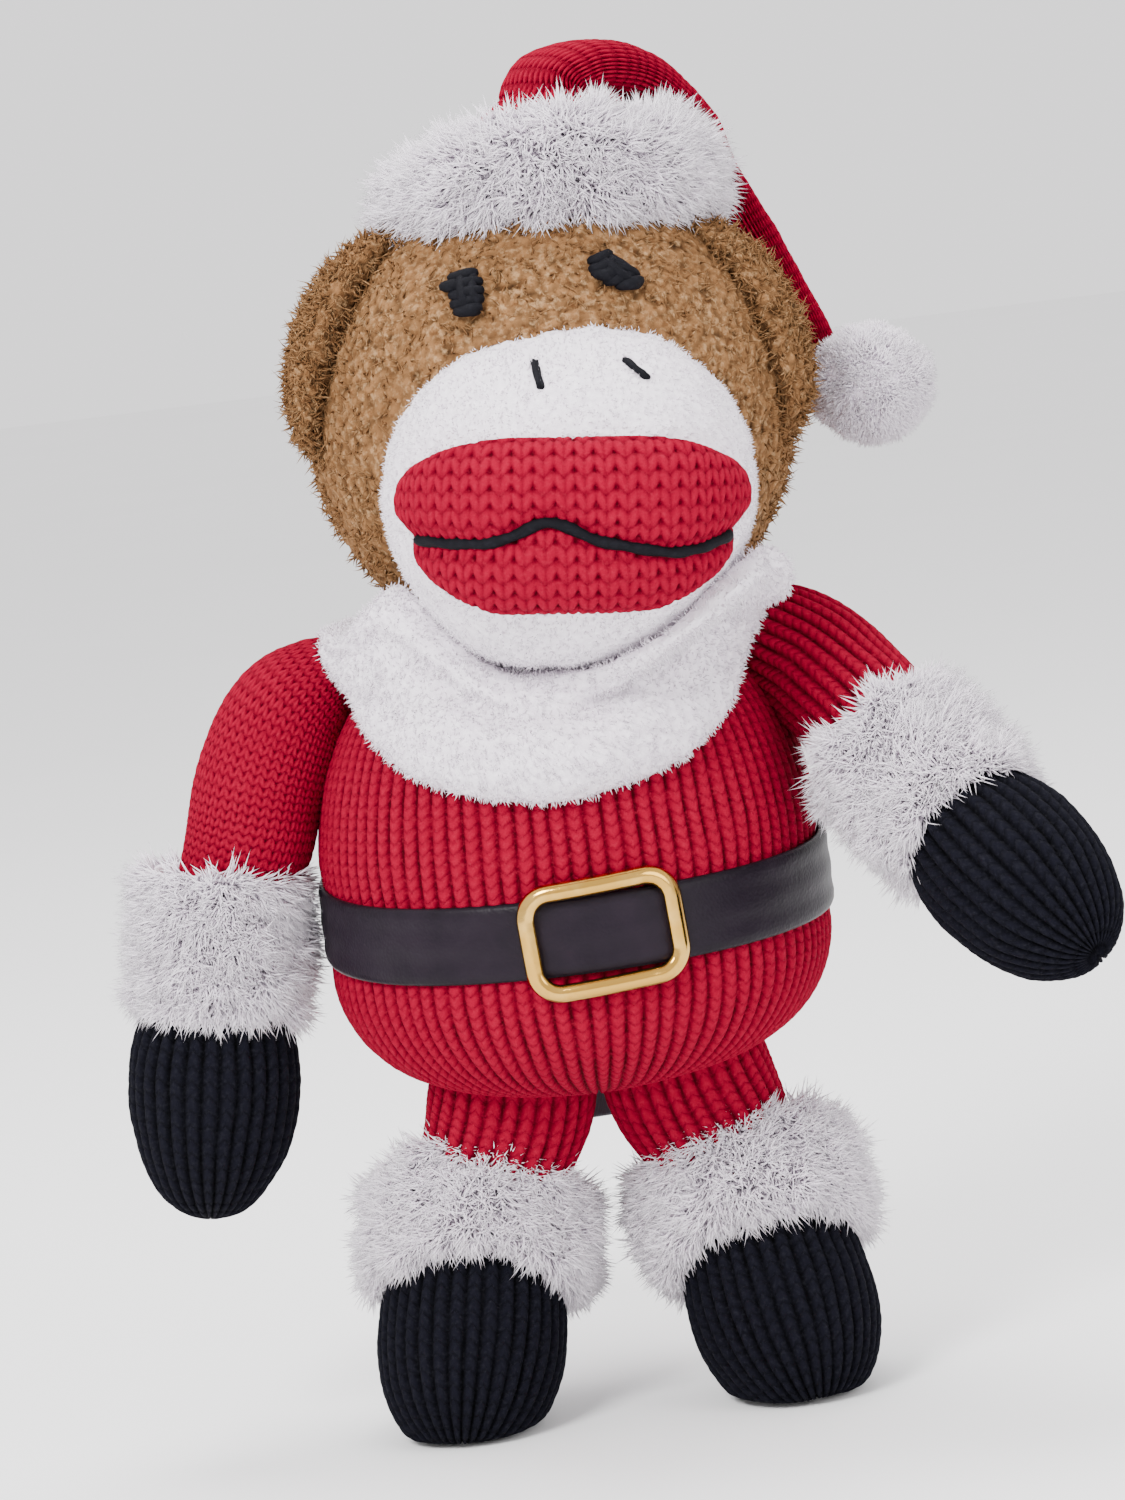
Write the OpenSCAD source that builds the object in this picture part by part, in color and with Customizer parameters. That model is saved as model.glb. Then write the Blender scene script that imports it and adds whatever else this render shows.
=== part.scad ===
// Knitted plush monkey in a red suit and a bobble hat. It stands on its two boots and faces -Y.
// "Right" and "left" are the toy's own sides: its right hand is on the -X side.

/* [Place of the toy over its origin] */
// Sideways shift that centres the outline, arms included
body_x = -5.2; // [-6:0.1:6]
// Fore-and-aft shift that centres the outline
body_y = 14.2; // [0:0.1:20]

/* [Torso] */
// Radius of the belly at its widest
belly_r = 49.5; // [45:0.5:52]
// Height of the widest level above the floor
belly_z = 98; // [94:0.5:102]
// Rise from the widest level to the shoulders
torso_up = 60; // [56:0.5:64]
// Drop from the widest level to the seat
torso_down = 32; // [30:0.5:34]

/* [Head] */
// Radius of the head
head_r = 48; // [44:0.5:49]
// Height of the head's centre
head_z = 199; // [197:0.5:202]
// How far the head sits to the toy's left
head_x = 7; // [0:0.5:9]
// Half width, half depth and half height of the muzzle
muzzle_size = [35.7, 38, 30.5]; // [28:0.5:40]
// Centre of the muzzle
muzzle_at = [8.3, -33, 185]; // [-40:0.5:200]
// Half width of the knitted mouth
mouth_w = 32.5; // [26:0.5:34]
// Half height of the knitted mouth
mouth_h = 15.5; // [12:0.5:18]
// Height of the middle of the mouth
mouth_z = 180.5; // [176:0.5:184]
// How far the mouth is turned down on the toy's left, in degrees
mouth_lean = 5.5; // [0:0.5:7]
// How far the mouth stands proud of the muzzle
mouth_puff = 4.5; // [2:0.5:6]
// Distance from the face's centre line to each eye
eye_x = 14.5; // [10:0.5:18]
// Height of the eyes
eye_z = 223; // [219:0.5:226]

/* [Ears] */
// Half depth of an ear
ear_r = 12; // [10:0.5:13]
// Half height of an ear
ear_h = 22.5; // [18:0.5:24]
// How far in front of the head's centre the ears sit
ear_forward = 13; // [10:0.5:15]
// Distance of the right ear's middle from the head's centre, seen from the front
right_ear_out = 43; // [40:0.5:44]
// The same distance for the left ear
left_ear_out = 41; // [40:0.5:44]
// Angle of the right ear's middle from straight up, in degrees
right_ear_angle = 67; // [64:1:75]
// The same angle for the left ear
left_ear_angle = 80; // [70:1:84]

/* [Hat] */
// Centre of the fur brim
brim_at = [11.5, -1, 244.5]; // [-10:0.5:250]
// Radius of the brim's ring
brim_r = 20.5; // [19:0.5:21]
// Thickness radius of the brim's fur
brim_fur = 12; // [10:0.5:12]
// Radius of the pompom
pompom_r = 13.2; // [10:0.1:13.2]
// Centre of the pompom
pompom_at = [69.5, 10.5, 194.5]; // [-20:0.5:200]

/* [Belt and collar] */
// Width of the belt
belt_w = 15; // [10:0.5:18]
// Thickness of the belt
belt_t = 1.6; // [1:0.1:3]
// Height of the belt's middle
belt_z = 104; // [98:0.5:108]
// How far the belt dips to the front, in degrees
belt_dip = 3; // [0:0.5:6]
// Outer width and height of the buckle
buckle_size = [33, 24.5]; // [20:0.5:36]
// Width of the buckle's bars
buckle_bar = 4.6; // [3:0.1:5]
// Thickness of the buckle
buckle_t = 2.6; // [2:0.1:4]
// How far the buckle sits to the toy's left
buckle_x = 4.5; // [0:0.5:6]
// Thickness of the fleece collar
collar_t = 9; // [5:0.5:11]
// Height of the collar's lower edge in front
collar_front_z = 126.5; // [122:0.5:132]

/* [Arms] */
// Right shoulder
right_shoulder = [-51, -2, 146]; // [-60:0.5:160]
// Right wrist
right_wrist = [-70, -2, 110]; // [-80:0.5:120]
// Tip of the right mitten
right_fingertip = [-80, -4, 48]; // [-100:0.5:60]
// Left shoulder
left_shoulder = [50.5, -4, 146]; // [-20:0.5:160]
// Left wrist
left_wrist = [66, -26, 125]; // [-40:0.5:130]
// Tip of the left mitten
left_fingertip = [96, -62, 88]; // [-70:0.5:110]
// Radius of the arm's sewn end
shoulder_r = 7.5; // [6:0.1:8]
// Radius of the sleeve at its fullest
sleeve_r = 11.2; // [10:0.1:12.5]
// Radius of the sleeve's rounded end inside the fur cuff
wrist_r = 11; // [9:0.1:11.5]
// Outer radius of an arm's fur cuff
arm_cuff_r = 18; // [16.5:0.5:19]
// Length of an arm's fur cuff
arm_cuff_l = 30; // [26:0.5:32]
// Radius of a mitten at its fullest
mitten_r = 16.3; // [14:0.1:17]

/* [Legs] */
// Half the distance between the leg seams
hip_x = 17; // [16:0.5:18]
// Fore-and-aft place of the leg seams
hip_y = 3; // [0:0.5:5]
// Half width of a leg seam
seam_w = 15; // [12:0.5:15.5]
// Radius of the folded seam along the top of a leg
seam_r = 2.4; // [2:0.1:2.6]
// Right ankle, the left one mirrored
ankle = [26.3, 6, 42.5]; // [0:0.5:50]
// Forward lean of the boots from straight down, in degrees
boot_lean = 27; // [20:1:30]
// Outward lean of the boots, in degrees
boot_splay = 11; // [5:1:14]
// Radius of the trouser leg's rounded end
trouser_r = 13.5; // [12:0.5:14]
// Radius of a boot at its fullest
boot_r = 18.4; // [17:0.1:19]
// Length of a boot along its own axis, before its sole is flattened
boot_l = 52; // [50:0.5:53]
// Outer radius of a leg's fur cuff
leg_cuff_r = 25; // [22:0.5:25]
// Length of a leg's fur cuff
leg_cuff_l = 25; // [20:0.5:26]

/* [Cloth] */
// Thickness of the knitted and fleece covers
cloth_t = 1.4; // [1:0.1:2]
// Clearance between pieces that move on each other
gap = 0.4; // [0.3:0.05:0.6]

/* [Hidden] */
$fn = 64;

RED = "crimson";
BROWN = "peru";
WHITE = "ghostwhite";
BLACK = [0.07, 0.07, 0.1];
STUFFING = "ivory";
PELLETS = "lightsteelblue";

head_at = [head_x, 0, head_z];
seat_z = belly_z - torso_down;
hip_z = seat_z - seam_r - gap;
// The dish in the top of the torso leaves room for the head to nod in.
dish_at = [head_x, 1.5, head_z + 1];
dish_r = head_r + 5;
neck_wad_r = 15;
neck_wad_top = 150;
// A cuff reaches this far back over the sleeve or trouser from the joint inside it.
cuff_lap = 8;
// A mitten's or boot's edge starts this far past the joint, so that the limb can bend.
rim = 6;
// Steps in a soft outline from end to end
STEPS = 28;
// Facets round a ball that thin or small pieces lie on
FINE = 144;

// ---- Shapes -------------------------------------------------------------------------------

// Half outline of a stuffed form: round when p is 2, fuller as p grows.
function stuffed(r, up, down, p_up, p_down, steps = STEPS) = [
    for (i = [0:steps])
        let (a = -90 + 180 * i / steps, p = a < 0 ? p_down : p_up)
            [r * pow(max(cos(a), 0), 2 / p), (a < 0 ? -down : up) * pow(abs(sin(a)), 2 / p)]
];

// Points of an arc from one angle to another.
function arc(at, r, from, to, n = 10) =
    [for (i = [0:n]) let (a = from + (to - from) * i / n) at + r * [cos(a), sin(a)]];

module turned(points) rotate_extrude() polygon(points);

module placed() translate([body_x, body_y, 0]) children();

// Moves children so that their origin is at one point and their +Z goes towards another.
module aim(from, to) {
    d = to - from;
    translate(from) rotate([0, acos(d[2] / norm(d)), atan2(d[1], d[0])]) children();
}

// A closed tube through a list of rings, each a list of points going round the same way.
module loft(rings) {
    n = len(rings[0]);
    last = len(rings) - 1;
    points = [for (ring = rings) for (p = ring) p];
    sides = [for (k = [0:last - 1]) for (i = [0:n - 1])
        let (j = (i + 1) % n) [k * n + i, k * n + j, (k + 1) * n + j, (k + 1) * n + i]];
    split = [for (q = sides) each [[q[0], q[1], q[2]], [q[0], q[2], q[3]]]];
    start = [[for (i = [n - 1:-1:0]) i]];
    end = [[for (i = [0:n - 1]) last * n + i]];
    polyhedron(points, concat(split, start, end));
}

// ---- Torso --------------------------------------------------------------------------------

module torso_form(inset) {
    difference() {
        translate([0, 0, belly_z])
            turned(stuffed(belly_r - inset, torso_up - inset, torso_down - inset, 3, 2.7));
        translate(dish_at) sphere(r = dish_r + inset);
    }
}

module torso_cover() {
    color(RED) placed() difference() {
        torso_form(0);
        torso_form(cloth_t);
    }
}

pellet_bag_r = 28;
pellet_bag_h = 10;
pellet_bag_z = seat_z + cloth_t + pellet_bag_h + 4;

module pellet_bag_form() {
    translate([0, 0, pellet_bag_z])
        turned(stuffed(pellet_bag_r, pellet_bag_h, pellet_bag_h, 2.6, 2.6));
}

module torso_filling() {
    color(STUFFING) placed() difference() {
        torso_form(cloth_t);
        pellet_bag_form();
    }
}

module seat_pellet_bag() {
    color(PELLETS) placed() pellet_bag_form();
}

// The belt follows the belly, and dips a little to the front.
module belt_slab(w, reach) {
    translate([0, 0, belt_z]) rotate([belt_dip, 0, 0])
        cube([2 * reach, 2 * reach, w], center = true);
}

module belly_skin(from, to) {
    difference() {
        torso_form(-to);
        torso_form(-from);
    }
}

module belt() {
    color(BLACK) placed() intersection() {
        belly_skin(0, belt_t);
        belt_slab(belt_w, 60);
    }
}

// A rounded rectangle, for the buckle's outline and its window.
module rounded(w, h, r) {
    hull() for (x = [-1, 1], y = [-1, 1])
        translate([x * (w / 2 - r), y * (h / 2 - r)]) circle(r = r, $fn = 32);
}

buckle_front = belly_r + belt_t + buckle_t;

module belt_buckle() {
    w = buckle_size[0];
    h = buckle_size[1];
    inner = 2 * buckle_bar;
    color("gold") placed() intersection() {
        belly_skin(belt_t, belt_t + buckle_t);
        translate([buckle_x, 0, belt_z - 50 * sin(belt_dip)]) rotate([90, 0, 0])
            linear_extrude(height = buckle_front + 10) difference() {
                rounded(w, h, 6);
                rounded(w - inner, h - inner, 3.5);
            }
    }
}

label_w = 12;
label_l = 13;
label_t = 0.8;

// The label is sewn into the seat and hangs between the legs.
module care_label() {
    color("silver") placed() difference() {
        translate([-label_w / 2, belly_r * 0.5, seat_z - label_l]) cube([label_w, label_t, label_l + 8]);
        torso_form(0);
    }
}

// Lower and upper edges of the collar, drawn in the plane that cuts the toy from front to back.
module across(points) {
    rotate([90, 0, 90]) linear_extrude(height = 140, center = true) polygon(points);
}

collar_side_z = 155;
collar_chest_z = 139;
collar_nape_z = 149;
collar_rim_z = 162;
collar_chin_z = 150.5;
collar_back_z = 159;
collar_inner_r = 39;

// The collar is a band that lies on the chest and rises round the neck.
function collar_outline() =
    let (lowest = collar_front_z - 8,
        chest = [for (p = stuffed(belly_r, torso_up, torso_down, 3, 2.7))
            if (p[0] > collar_inner_r && p[1] + belly_z > lowest) [p[0], p[1] + belly_z]],
        rim = collar_rim_z + 2)
    concat(chest, [[collar_inner_r, rim]],
        arc([collar_inner_r + collar_t / 2, rim], collar_t / 2, 180, 0, 8),
        [for (k = [len(chest) - 1:-1:0]) chest[k] + [collar_t, 1]]);

module collar() {
    color(WHITE) placed() difference() {
        turned(collar_outline());
        across([[-80, 0], [-80, collar_front_z - 13], [-52, collar_front_z], [-25, collar_chest_z],
            [-12, collar_side_z], [10, collar_side_z], [24, collar_nape_z], [80, collar_nape_z],
            [80, 0]]);
        across([[-80, 250], [-80, collar_chin_z], [-32, collar_chin_z], [-5, collar_rim_z],
            [18, collar_back_z], [80, collar_back_z], [80, 250]]);
    }
}

// ---- Neck and head ------------------------------------------------------------------------

// A small wad of fibre where the head is sewn on; the head turns with it and nods on it.
module neck_wad() {
    r = dish_r - gap;
    edge = asin(neck_wad_r / r);
    color(STUFFING) placed() translate(dish_at)
        turned(concat(arc([0, 0], r, -90, edge - 90, 8), [[0, neck_wad_top - dish_at[2]]]));
}

module head_ball(inset = 0) {
    translate(head_at) sphere(r = head_r - inset, $fn = FINE);
}

// The muzzle is a wide dome: two round ones side by side, drawn together.
muzzle_side = muzzle_size[0] - muzzle_size[2];

module muzzle_form(grow = 0) {
    hull() for (side = [-1, 1])
        translate(muzzle_at + [side * muzzle_side, 0, 0]) rotate([90, 0, 0]) rotate_extrude($fn = 32)
            polygon(stuffed(muzzle_size[2] + grow, muzzle_size[1] + grow, 12 + grow, 2, 2, 16));
}

module head_cover() {
    color(BROWN) placed() difference() {
        head_ball();
        head_ball(cloth_t);
    }
}

module head_filling() {
    color(STUFFING) placed() head_ball(cloth_t);
}

module muzzle_cover() {
    color(WHITE) placed() difference() {
        muzzle_form();
        muzzle_form(-cloth_t);
        head_ball();
    }
}

module muzzle_filling() {
    color(STUFFING) placed() difference() {
        muzzle_form(-cloth_t);
        head_ball();
    }
}

mouth_x = muzzle_at[0];

// The mouth is a puffed oval of knitting on the front of the muzzle.
module mouth_patch() {
    oval = [for (a = [0:10:350]) [mouth_w * cos(a), mouth_h * sin(a)]];
    color(RED) placed() intersection() {
        difference() {
            muzzle_form(mouth_puff);
            muzzle_form();
        }
        translate([mouth_x, muzzle_at[1], mouth_z]) rotate([90, 0, 0])
            linear_extrude(height = 100) rotate(-mouth_lean) polygon(oval);
    }
}

yarn_r = 1.5;

// Depth of the grown muzzle's front at a place across and up.
function muzzle_front(x, z, grow) =
    let (r = muzzle_size[2] + grow, u = max(0, abs(x - muzzle_at[0]) - muzzle_side) / r,
        v = (z - muzzle_at[2]) / r)
    muzzle_at[1] - (muzzle_size[1] + grow) * sqrt(max(0, 1 - u * u - v * v));

// The mouth's line, drawn before the mouth leans: a low peak, and a dip on the toy's left.
function lip_rise(x) = -2.3 + 3.6 * exp(-pow((x + 4.6) / 6.5, 2)) - 2.2 * exp(-pow((x - 18.5) / 9, 2));

module mouth_yarn() {
    reach = mouth_w - 4;
    color(BLACK) placed() loft([
        for (i = [0:18])
            let (s = reach * (i / 9 - 1), rise = lip_rise(s),
                x = mouth_x + s * cos(mouth_lean) + rise * sin(mouth_lean),
                z = mouth_z - s * sin(mouth_lean) + rise * cos(mouth_lean),
                y = muzzle_front(x, z, mouth_puff) - yarn_r - 1.2)
                [for (a = [0:45:315]) [x, y - yarn_r * sin(a), z + yarn_r * cos(a)]]
    ]);
}

module eye(side) {
    x = side * eye_x;
    z = eye_z - head_z;
    y = -sqrt(head_r * head_r - x * x - z * z);
    color(BLACK) placed() difference() {
        translate(head_at + [x, y, z]) sphere(r = 4.4);
        head_ball();
    }
}

module right_eye() {
    eye(-1);
}

module left_eye() {
    eye(1);
}

stitch_r = 0.8;
stitch_l = 5.6;
nostril_z = 206.5;

// A nostril is one short stitch that lies on the muzzle, leaning by an angle.
module nostril(x, lean) {
    at = [x, muzzle_front(x, nostril_z, 0), nostril_z];
    slope = 48;
    color(BLACK) placed() translate(at) rotate([-slope, 0, 0]) rotate([0, lean, 0])
        translate([0, -stitch_r - 1.2, 0]) cylinder(r = stitch_r, h = stitch_l, center = true);
}

module right_nostril() {
    nostril(4.6, 0);
}

module left_nostril() {
    nostril(22.6, -48);
}

// An ear is a cupped lobe that lies along the side of the head.
module ear(side, out, angle) {
    color(BROWN) placed() difference() {
        translate(head_at) rotate([0, side * angle, 0]) difference() {
            translate([0, -ear_forward, out]) rotate([0, 90, 0])
                turned(stuffed(ear_r, ear_h, ear_h, 2, 2));
            translate([0, -ear_forward - ear_r, out + 4]) rotate([0, 90, 0])
                turned(stuffed(ear_r / 2, ear_h * 0.75, ear_h * 0.75, 2, 2));
        }
        head_ball(-gap);
    }
}

module right_ear() {
    ear(-1, right_ear_out, right_ear_angle);
}

module left_ear() {
    ear(1, left_ear_out, left_ear_angle);
}

// ---- Hat ----------------------------------------------------------------------------------

module brim_ring(grow = 0) {
    translate(brim_at) rotate_extrude() translate([brim_r, 0]) circle(r = brim_fur + grow);
}

module hat_brim() {
    color(WHITE) placed() difference() {
        brim_ring();
        head_ball();
    }
}

// Middle line of the hat's flattened cone: place, half width and half thickness.
CONE = [
    [[12, 0, 261.5], 8.5, 3.6], [[16.5, 2, 263.6], 11.5, 4.2], [[22, 5.5, 264.4], 12, 4.4],
    [[26, 8.8, 263.6], 11.8, 4.4], [[28.3, 10.6, 263.1], 11.6, 4.4], [[35, 16.4, 259.6], 11.2, 4.4],
    [[40, 20.4, 252.5], 10.8, 4.4], [[42.6, 22.2, 243], 10, 4.4], [[47, 23.6, 232], 9.2, 4.4],
    [[52.3, 22.8, 220], 8, 4.2], [[57, 20.3, 210], 6, 3.8], [[60.5, 17.5, 203.5], 3.6, 3]
];
FOLD = 4;

function unit(v) = v / norm(v);

// One ring of the cone: its thin way points out from the head.
function cone_ring(k) =
    let (a = max(k - 1, 0), b = min(k + 1, len(CONE) - 1), t = unit(CONE[b][0] - CONE[a][0]),
        out = unit(CONE[k][0] - head_at), side = unit(cross(t, out)), up = cross(side, t))
    [for (i = [0:22.5:337.5])
        CONE[k][0] + CONE[k][1] * cos(i) * side + CONE[k][2] * sin(i) * up];

module hat_crown() {
    color(RED) placed() difference() {
        union() {
            translate(brim_at) turned(stuffed(20, 15.6, 12, 2.4, 2));
            loft([for (k = [0:FOLD - 1]) cone_ring(k)]);
        }
        brim_ring();
        head_ball();
    }
}

module hat_tail() {
    color(RED) placed() loft([for (k = [FOLD:len(CONE) - 1]) cone_ring(k)]);
}

module hat_pompom() {
    color(WHITE) placed() translate(pompom_at) sphere(r = pompom_r);
}

// ---- Arms ---------------------------------------------------------------------------------

// Outline of a sleeve from its sewn end, at the origin, to its rounded end inside the cuff.
function sleeve_outline(length, inset) =
    let (a = shoulder_r - inset, b = sleeve_r - inset, c = wrist_r - inset)
    concat(arc([0, 0], a, -90, 0), [[b - 0.9, length * 0.25], [b, length * 0.5],
        [b - 0.3, length * 0.75]], arc([0, length], c, 0, 90));

module sleeve_form(from, to, inset) {
    aim(from, to) turned(sleeve_outline(norm(to - from), inset));
}

module sleeve(from, to) {
    color(RED) placed() difference() {
        sleeve_form(from, to, 0);
        sleeve_form(from, to, cloth_t);
    }
}

shoulder_wad_r = shoulder_r - cloth_t - gap;

module shoulder_wad(at) {
    color(STUFFING) placed() translate(at) sphere(r = shoulder_wad_r);
}

module sleeve_filling(from, to) {
    color(STUFFING) placed() difference() {
        sleeve_form(from, to, cloth_t);
        translate(from) sphere(r = shoulder_r - cloth_t + gap);
    }
}

// Outline of a mitten along its own axis, from the wrist at the origin to its tip.
function mitten_outline(length, inset) =
    let (n = wrist_r + gap + 2 * cloth_t - inset, r = mitten_r - inset, full = length * 0.55)
    concat([[0, rim + inset], [n, rim + inset], [n, 12]],
        [for (a = [-60:12:84]) [r * pow(cos(a), 0.9), full + (a < 0 ? full - 12 : length - full - inset)
            * sin(a)]],
        [[0, length - inset]]);

module mitten_form(from, to, inset) {
    difference() {
        aim(from, to) turned(mitten_outline(norm(to - from), inset));
        translate(from) sphere(r = wrist_r + gap);
    }
}

module mitten(from, to) {
    color(BLACK) placed() difference() {
        mitten_form(from, to, 0);
        aim(from, to) turned(mitten_outline(norm(to - from), cloth_t));
        translate(from) sphere(r = wrist_r + gap);
    }
}

module mitten_filling(from, to) {
    color(STUFFING) placed() mitten_form(from, to, cloth_t);
}

// A fur cuff: a thick ring that flares open where the limb goes in.
module cuff_ring(length, r, bore) {
    mouth = bore + cuff_lap * 0.7;
    hem = 8;
    lip = min(hem, r - mouth - 0.2);
    turned(concat([[bore, rim / 2], [mouth, -cuff_lap]],
        arc([r - lip, lip - cuff_lap], lip, -90, 0, 6),
        arc([r - hem, length - cuff_lap - hem], hem, 0, 90, 6), [[bore, length - cuff_lap]]));
}

module arm_cuff(from, to) {
    color(WHITE) placed() difference() {
        aim(from, to) cuff_ring(arm_cuff_l, arm_cuff_r, wrist_r + gap + 1);
        aim(from, to) turned(mitten_outline(norm(to - from), 0));
    }
}

module right_shoulder_wad() {
    shoulder_wad(right_shoulder);
}

module right_sleeve() {
    sleeve(right_shoulder, right_wrist);
}

module right_sleeve_filling() {
    sleeve_filling(right_shoulder, right_wrist);
}

module right_arm_cuff() {
    arm_cuff(right_wrist, right_fingertip);
}

module right_mitten() {
    mitten(right_wrist, right_fingertip);
}

module right_mitten_filling() {
    mitten_filling(right_wrist, right_fingertip);
}

module left_shoulder_wad() {
    shoulder_wad(left_shoulder);
}

module left_sleeve() {
    sleeve(left_shoulder, left_wrist);
}

module left_sleeve_filling() {
    sleeve_filling(left_shoulder, left_wrist);
}

module left_arm_cuff() {
    arm_cuff(left_wrist, left_fingertip);
}

module left_mitten() {
    mitten(left_wrist, left_fingertip);
}

module left_mitten_filling() {
    mitten_filling(left_wrist, left_fingertip);
}

// ---- Legs ---------------------------------------------------------------------------------

function hip(side) = [side * hip_x, hip_y, hip_z];
function ankle_at(side) = [side * ankle[0], ankle[1], ankle[2]];
function toe(side) = ankle_at(side) + boot_l * unit([side * tan(boot_splay), -tan(boot_lean), -1]);

// A trouser leg runs from a flat seam under the seat to a round end inside the cuff.
module trouser_form(side, inset) {
    hull() {
        translate(hip(side)) rotate([0, 90, 0])
            cylinder(r = seam_r - inset / 2, h = 2 * (seam_w - inset), center = true, $fn = 24);
        translate(ankle_at(side)) sphere(r = trouser_r - inset, $fn = 36);
    }
}

module trouser_leg(side) {
    color(RED) placed() difference() {
        trouser_form(side, 0);
        trouser_form(side, cloth_t);
    }
}

module leg_filling(side) {
    color(STUFFING) placed() trouser_form(side, cloth_t);
}

// Outline of a boot along its own axis, from the ankle at the origin to the toe.
function boot_outline(inset) =
    let (n = trouser_r + gap + 2 * cloth_t - inset, r = boot_r - inset, full = boot_l * 0.56)
    concat([[0, rim + inset], [n, rim + inset], [n + 0.4, 8]],
        [for (a = [-24:12:84]) [r * pow(cos(a), 0.8), full + (a < 0 ? full : boot_l - full - inset)
            * sin(a)]],
        [[0, boot_l - inset]]);

module boot_form(side, inset) {
    difference() {
        aim(ankle_at(side), toe(side)) turned(boot_outline(inset));
        translate(ankle_at(side)) sphere(r = trouser_r + gap);
        translate([-100, -100, inset - 50]) cube([200, 200, 50]);
    }
}

module boot(side) {
    color(BLACK) placed() difference() {
        boot_form(side, 0);
        intersection() {
            aim(ankle_at(side), toe(side)) turned(boot_outline(cloth_t));
            translate([-100, -100, cloth_t]) cube([200, 200, 100]);
        }
    }
}

module boot_pellets(side) {
    color(PELLETS) placed() boot_form(side, cloth_t);
}

module leg_cuff(side) {
    color(WHITE) placed() difference() {
        aim(ankle_at(side), toe(side)) cuff_ring(leg_cuff_l, leg_cuff_r, trouser_r + gap + 2.5);
        aim(ankle_at(side), toe(side)) turned(boot_outline(0));
    }
}

module right_trouser_leg() {
    trouser_leg(-1);
}

module right_leg_filling() {
    leg_filling(-1);
}

module right_leg_cuff() {
    leg_cuff(-1);
}

module right_boot() {
    boot(-1);
}

module right_boot_pellets() {
    boot_pellets(-1);
}

module left_trouser_leg() {
    trouser_leg(1);
}

module left_leg_filling() {
    leg_filling(1);
}

module left_leg_cuff() {
    leg_cuff(1);
}

module left_boot() {
    boot(1);
}

module left_boot_pellets() {
    boot_pellets(1);
}

torso_cover();
torso_filling();
seat_pellet_bag();
collar();
belt();
belt_buckle();
care_label();
neck_wad();
head_cover();
head_filling();
muzzle_cover();
muzzle_filling();
mouth_patch();
mouth_yarn();
right_eye();
left_eye();
right_nostril();
left_nostril();
right_ear();
left_ear();
hat_brim();
hat_crown();
hat_tail();
hat_pompom();
right_shoulder_wad();
right_sleeve();
right_sleeve_filling();
right_arm_cuff();
right_mitten();
right_mitten_filling();
left_shoulder_wad();
left_sleeve();
left_sleeve_filling();
left_arm_cuff();
left_mitten();
left_mitten_filling();
right_trouser_leg();
right_leg_filling();
right_leg_cuff();
right_boot();
right_boot_pellets();
left_trouser_leg();
left_leg_filling();
left_leg_cuff();
left_boot();
left_boot_pellets();
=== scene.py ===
"""Looks of the knitted plush monkey, built round its CAD frame.

Lengths are in millimetres until a mesh is made.
"""

import math

import bmesh
import bpy
import numpy as np
from mathutils import Matrix, Vector


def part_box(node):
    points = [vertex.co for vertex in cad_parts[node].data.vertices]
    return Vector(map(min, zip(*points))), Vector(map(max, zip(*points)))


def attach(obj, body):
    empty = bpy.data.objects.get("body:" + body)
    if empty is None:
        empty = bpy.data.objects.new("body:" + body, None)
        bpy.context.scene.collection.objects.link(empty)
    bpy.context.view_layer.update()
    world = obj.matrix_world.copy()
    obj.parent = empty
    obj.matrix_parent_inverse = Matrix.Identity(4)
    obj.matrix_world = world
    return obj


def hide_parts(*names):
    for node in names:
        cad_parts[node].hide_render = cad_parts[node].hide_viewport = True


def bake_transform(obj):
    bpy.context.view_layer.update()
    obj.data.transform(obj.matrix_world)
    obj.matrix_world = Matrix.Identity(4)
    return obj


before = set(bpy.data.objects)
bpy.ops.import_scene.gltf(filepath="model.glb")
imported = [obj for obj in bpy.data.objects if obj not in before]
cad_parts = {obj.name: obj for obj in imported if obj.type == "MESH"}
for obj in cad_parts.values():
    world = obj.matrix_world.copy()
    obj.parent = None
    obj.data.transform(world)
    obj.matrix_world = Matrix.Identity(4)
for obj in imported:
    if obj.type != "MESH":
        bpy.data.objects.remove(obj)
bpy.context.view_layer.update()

# The design below is drawn about the torso's axis; the frame's origin is under the middle of the whole toy.
torso_low, torso_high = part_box("torso_cover")
SHIFT = np.array([500 * (torso_low.x + torso_high.x), 500 * (torso_low.y + torso_high.y), 0.0])
TURN = 2 * math.pi
RIGHT, LEFT = -1, 1
SIDE_NAME = {RIGHT: "right", LEFT: "left"}

# ---- Places and sizes ---------------------------------------------------------------------
# Most follow the CAD source. The ears, the pompom and the muzzle's height were moved from it afterwards.

BELLY_R, BELLY_Z, TORSO_UP, TORSO_DOWN = 49.5, 98.0, 60.0, 32.0
ROUND_UP, ROUND_DOWN = 3.0, 2.7
LINING_Z, LINING_FRONT_Y = 149.0, -14.0
HEAD_AT, HEAD_R = np.array([7.0, 0.0, 199.0]), 48.0
DISH_AT, DISH_R = np.array([7.0, 1.5, 200.0]), 53.0
MUZZLE_AT, MUZZLE_R, MUZZLE_SIDE, MUZZLE_DEPTH = np.array([8.3, -33.0, 185.0]), 30.5, 5.2, 38.0
CHIN_DROP, MUZZLE_TALL = 3.5, 1.06
MOUTH_Z, MOUTH_LEAN, MOUTH_REACH = 180.5, math.radians(5.5), 28.5
EAR_FORWARD, EAR_OUT, EAR_ANGLE = 13.0, {-1: 41.8, 1: 40.8}, {-1: 64.0, 1: 73.0}
BRIM_AT, BRIM_R = np.array([11.5, -1.0, 244.5]), 20.5
POMPOM_AT, POMPOM_R = np.array([71.0, 10.5, 196.5]), 13.2
BELT_Z, BELT_W, BELT_DIP = 104.0, 15.0, math.radians(3)
WRIST = {RIGHT: np.array([-70.0, -2.0, 110.0]), LEFT: np.array([66.0, -26.0, 125.0])}
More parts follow.
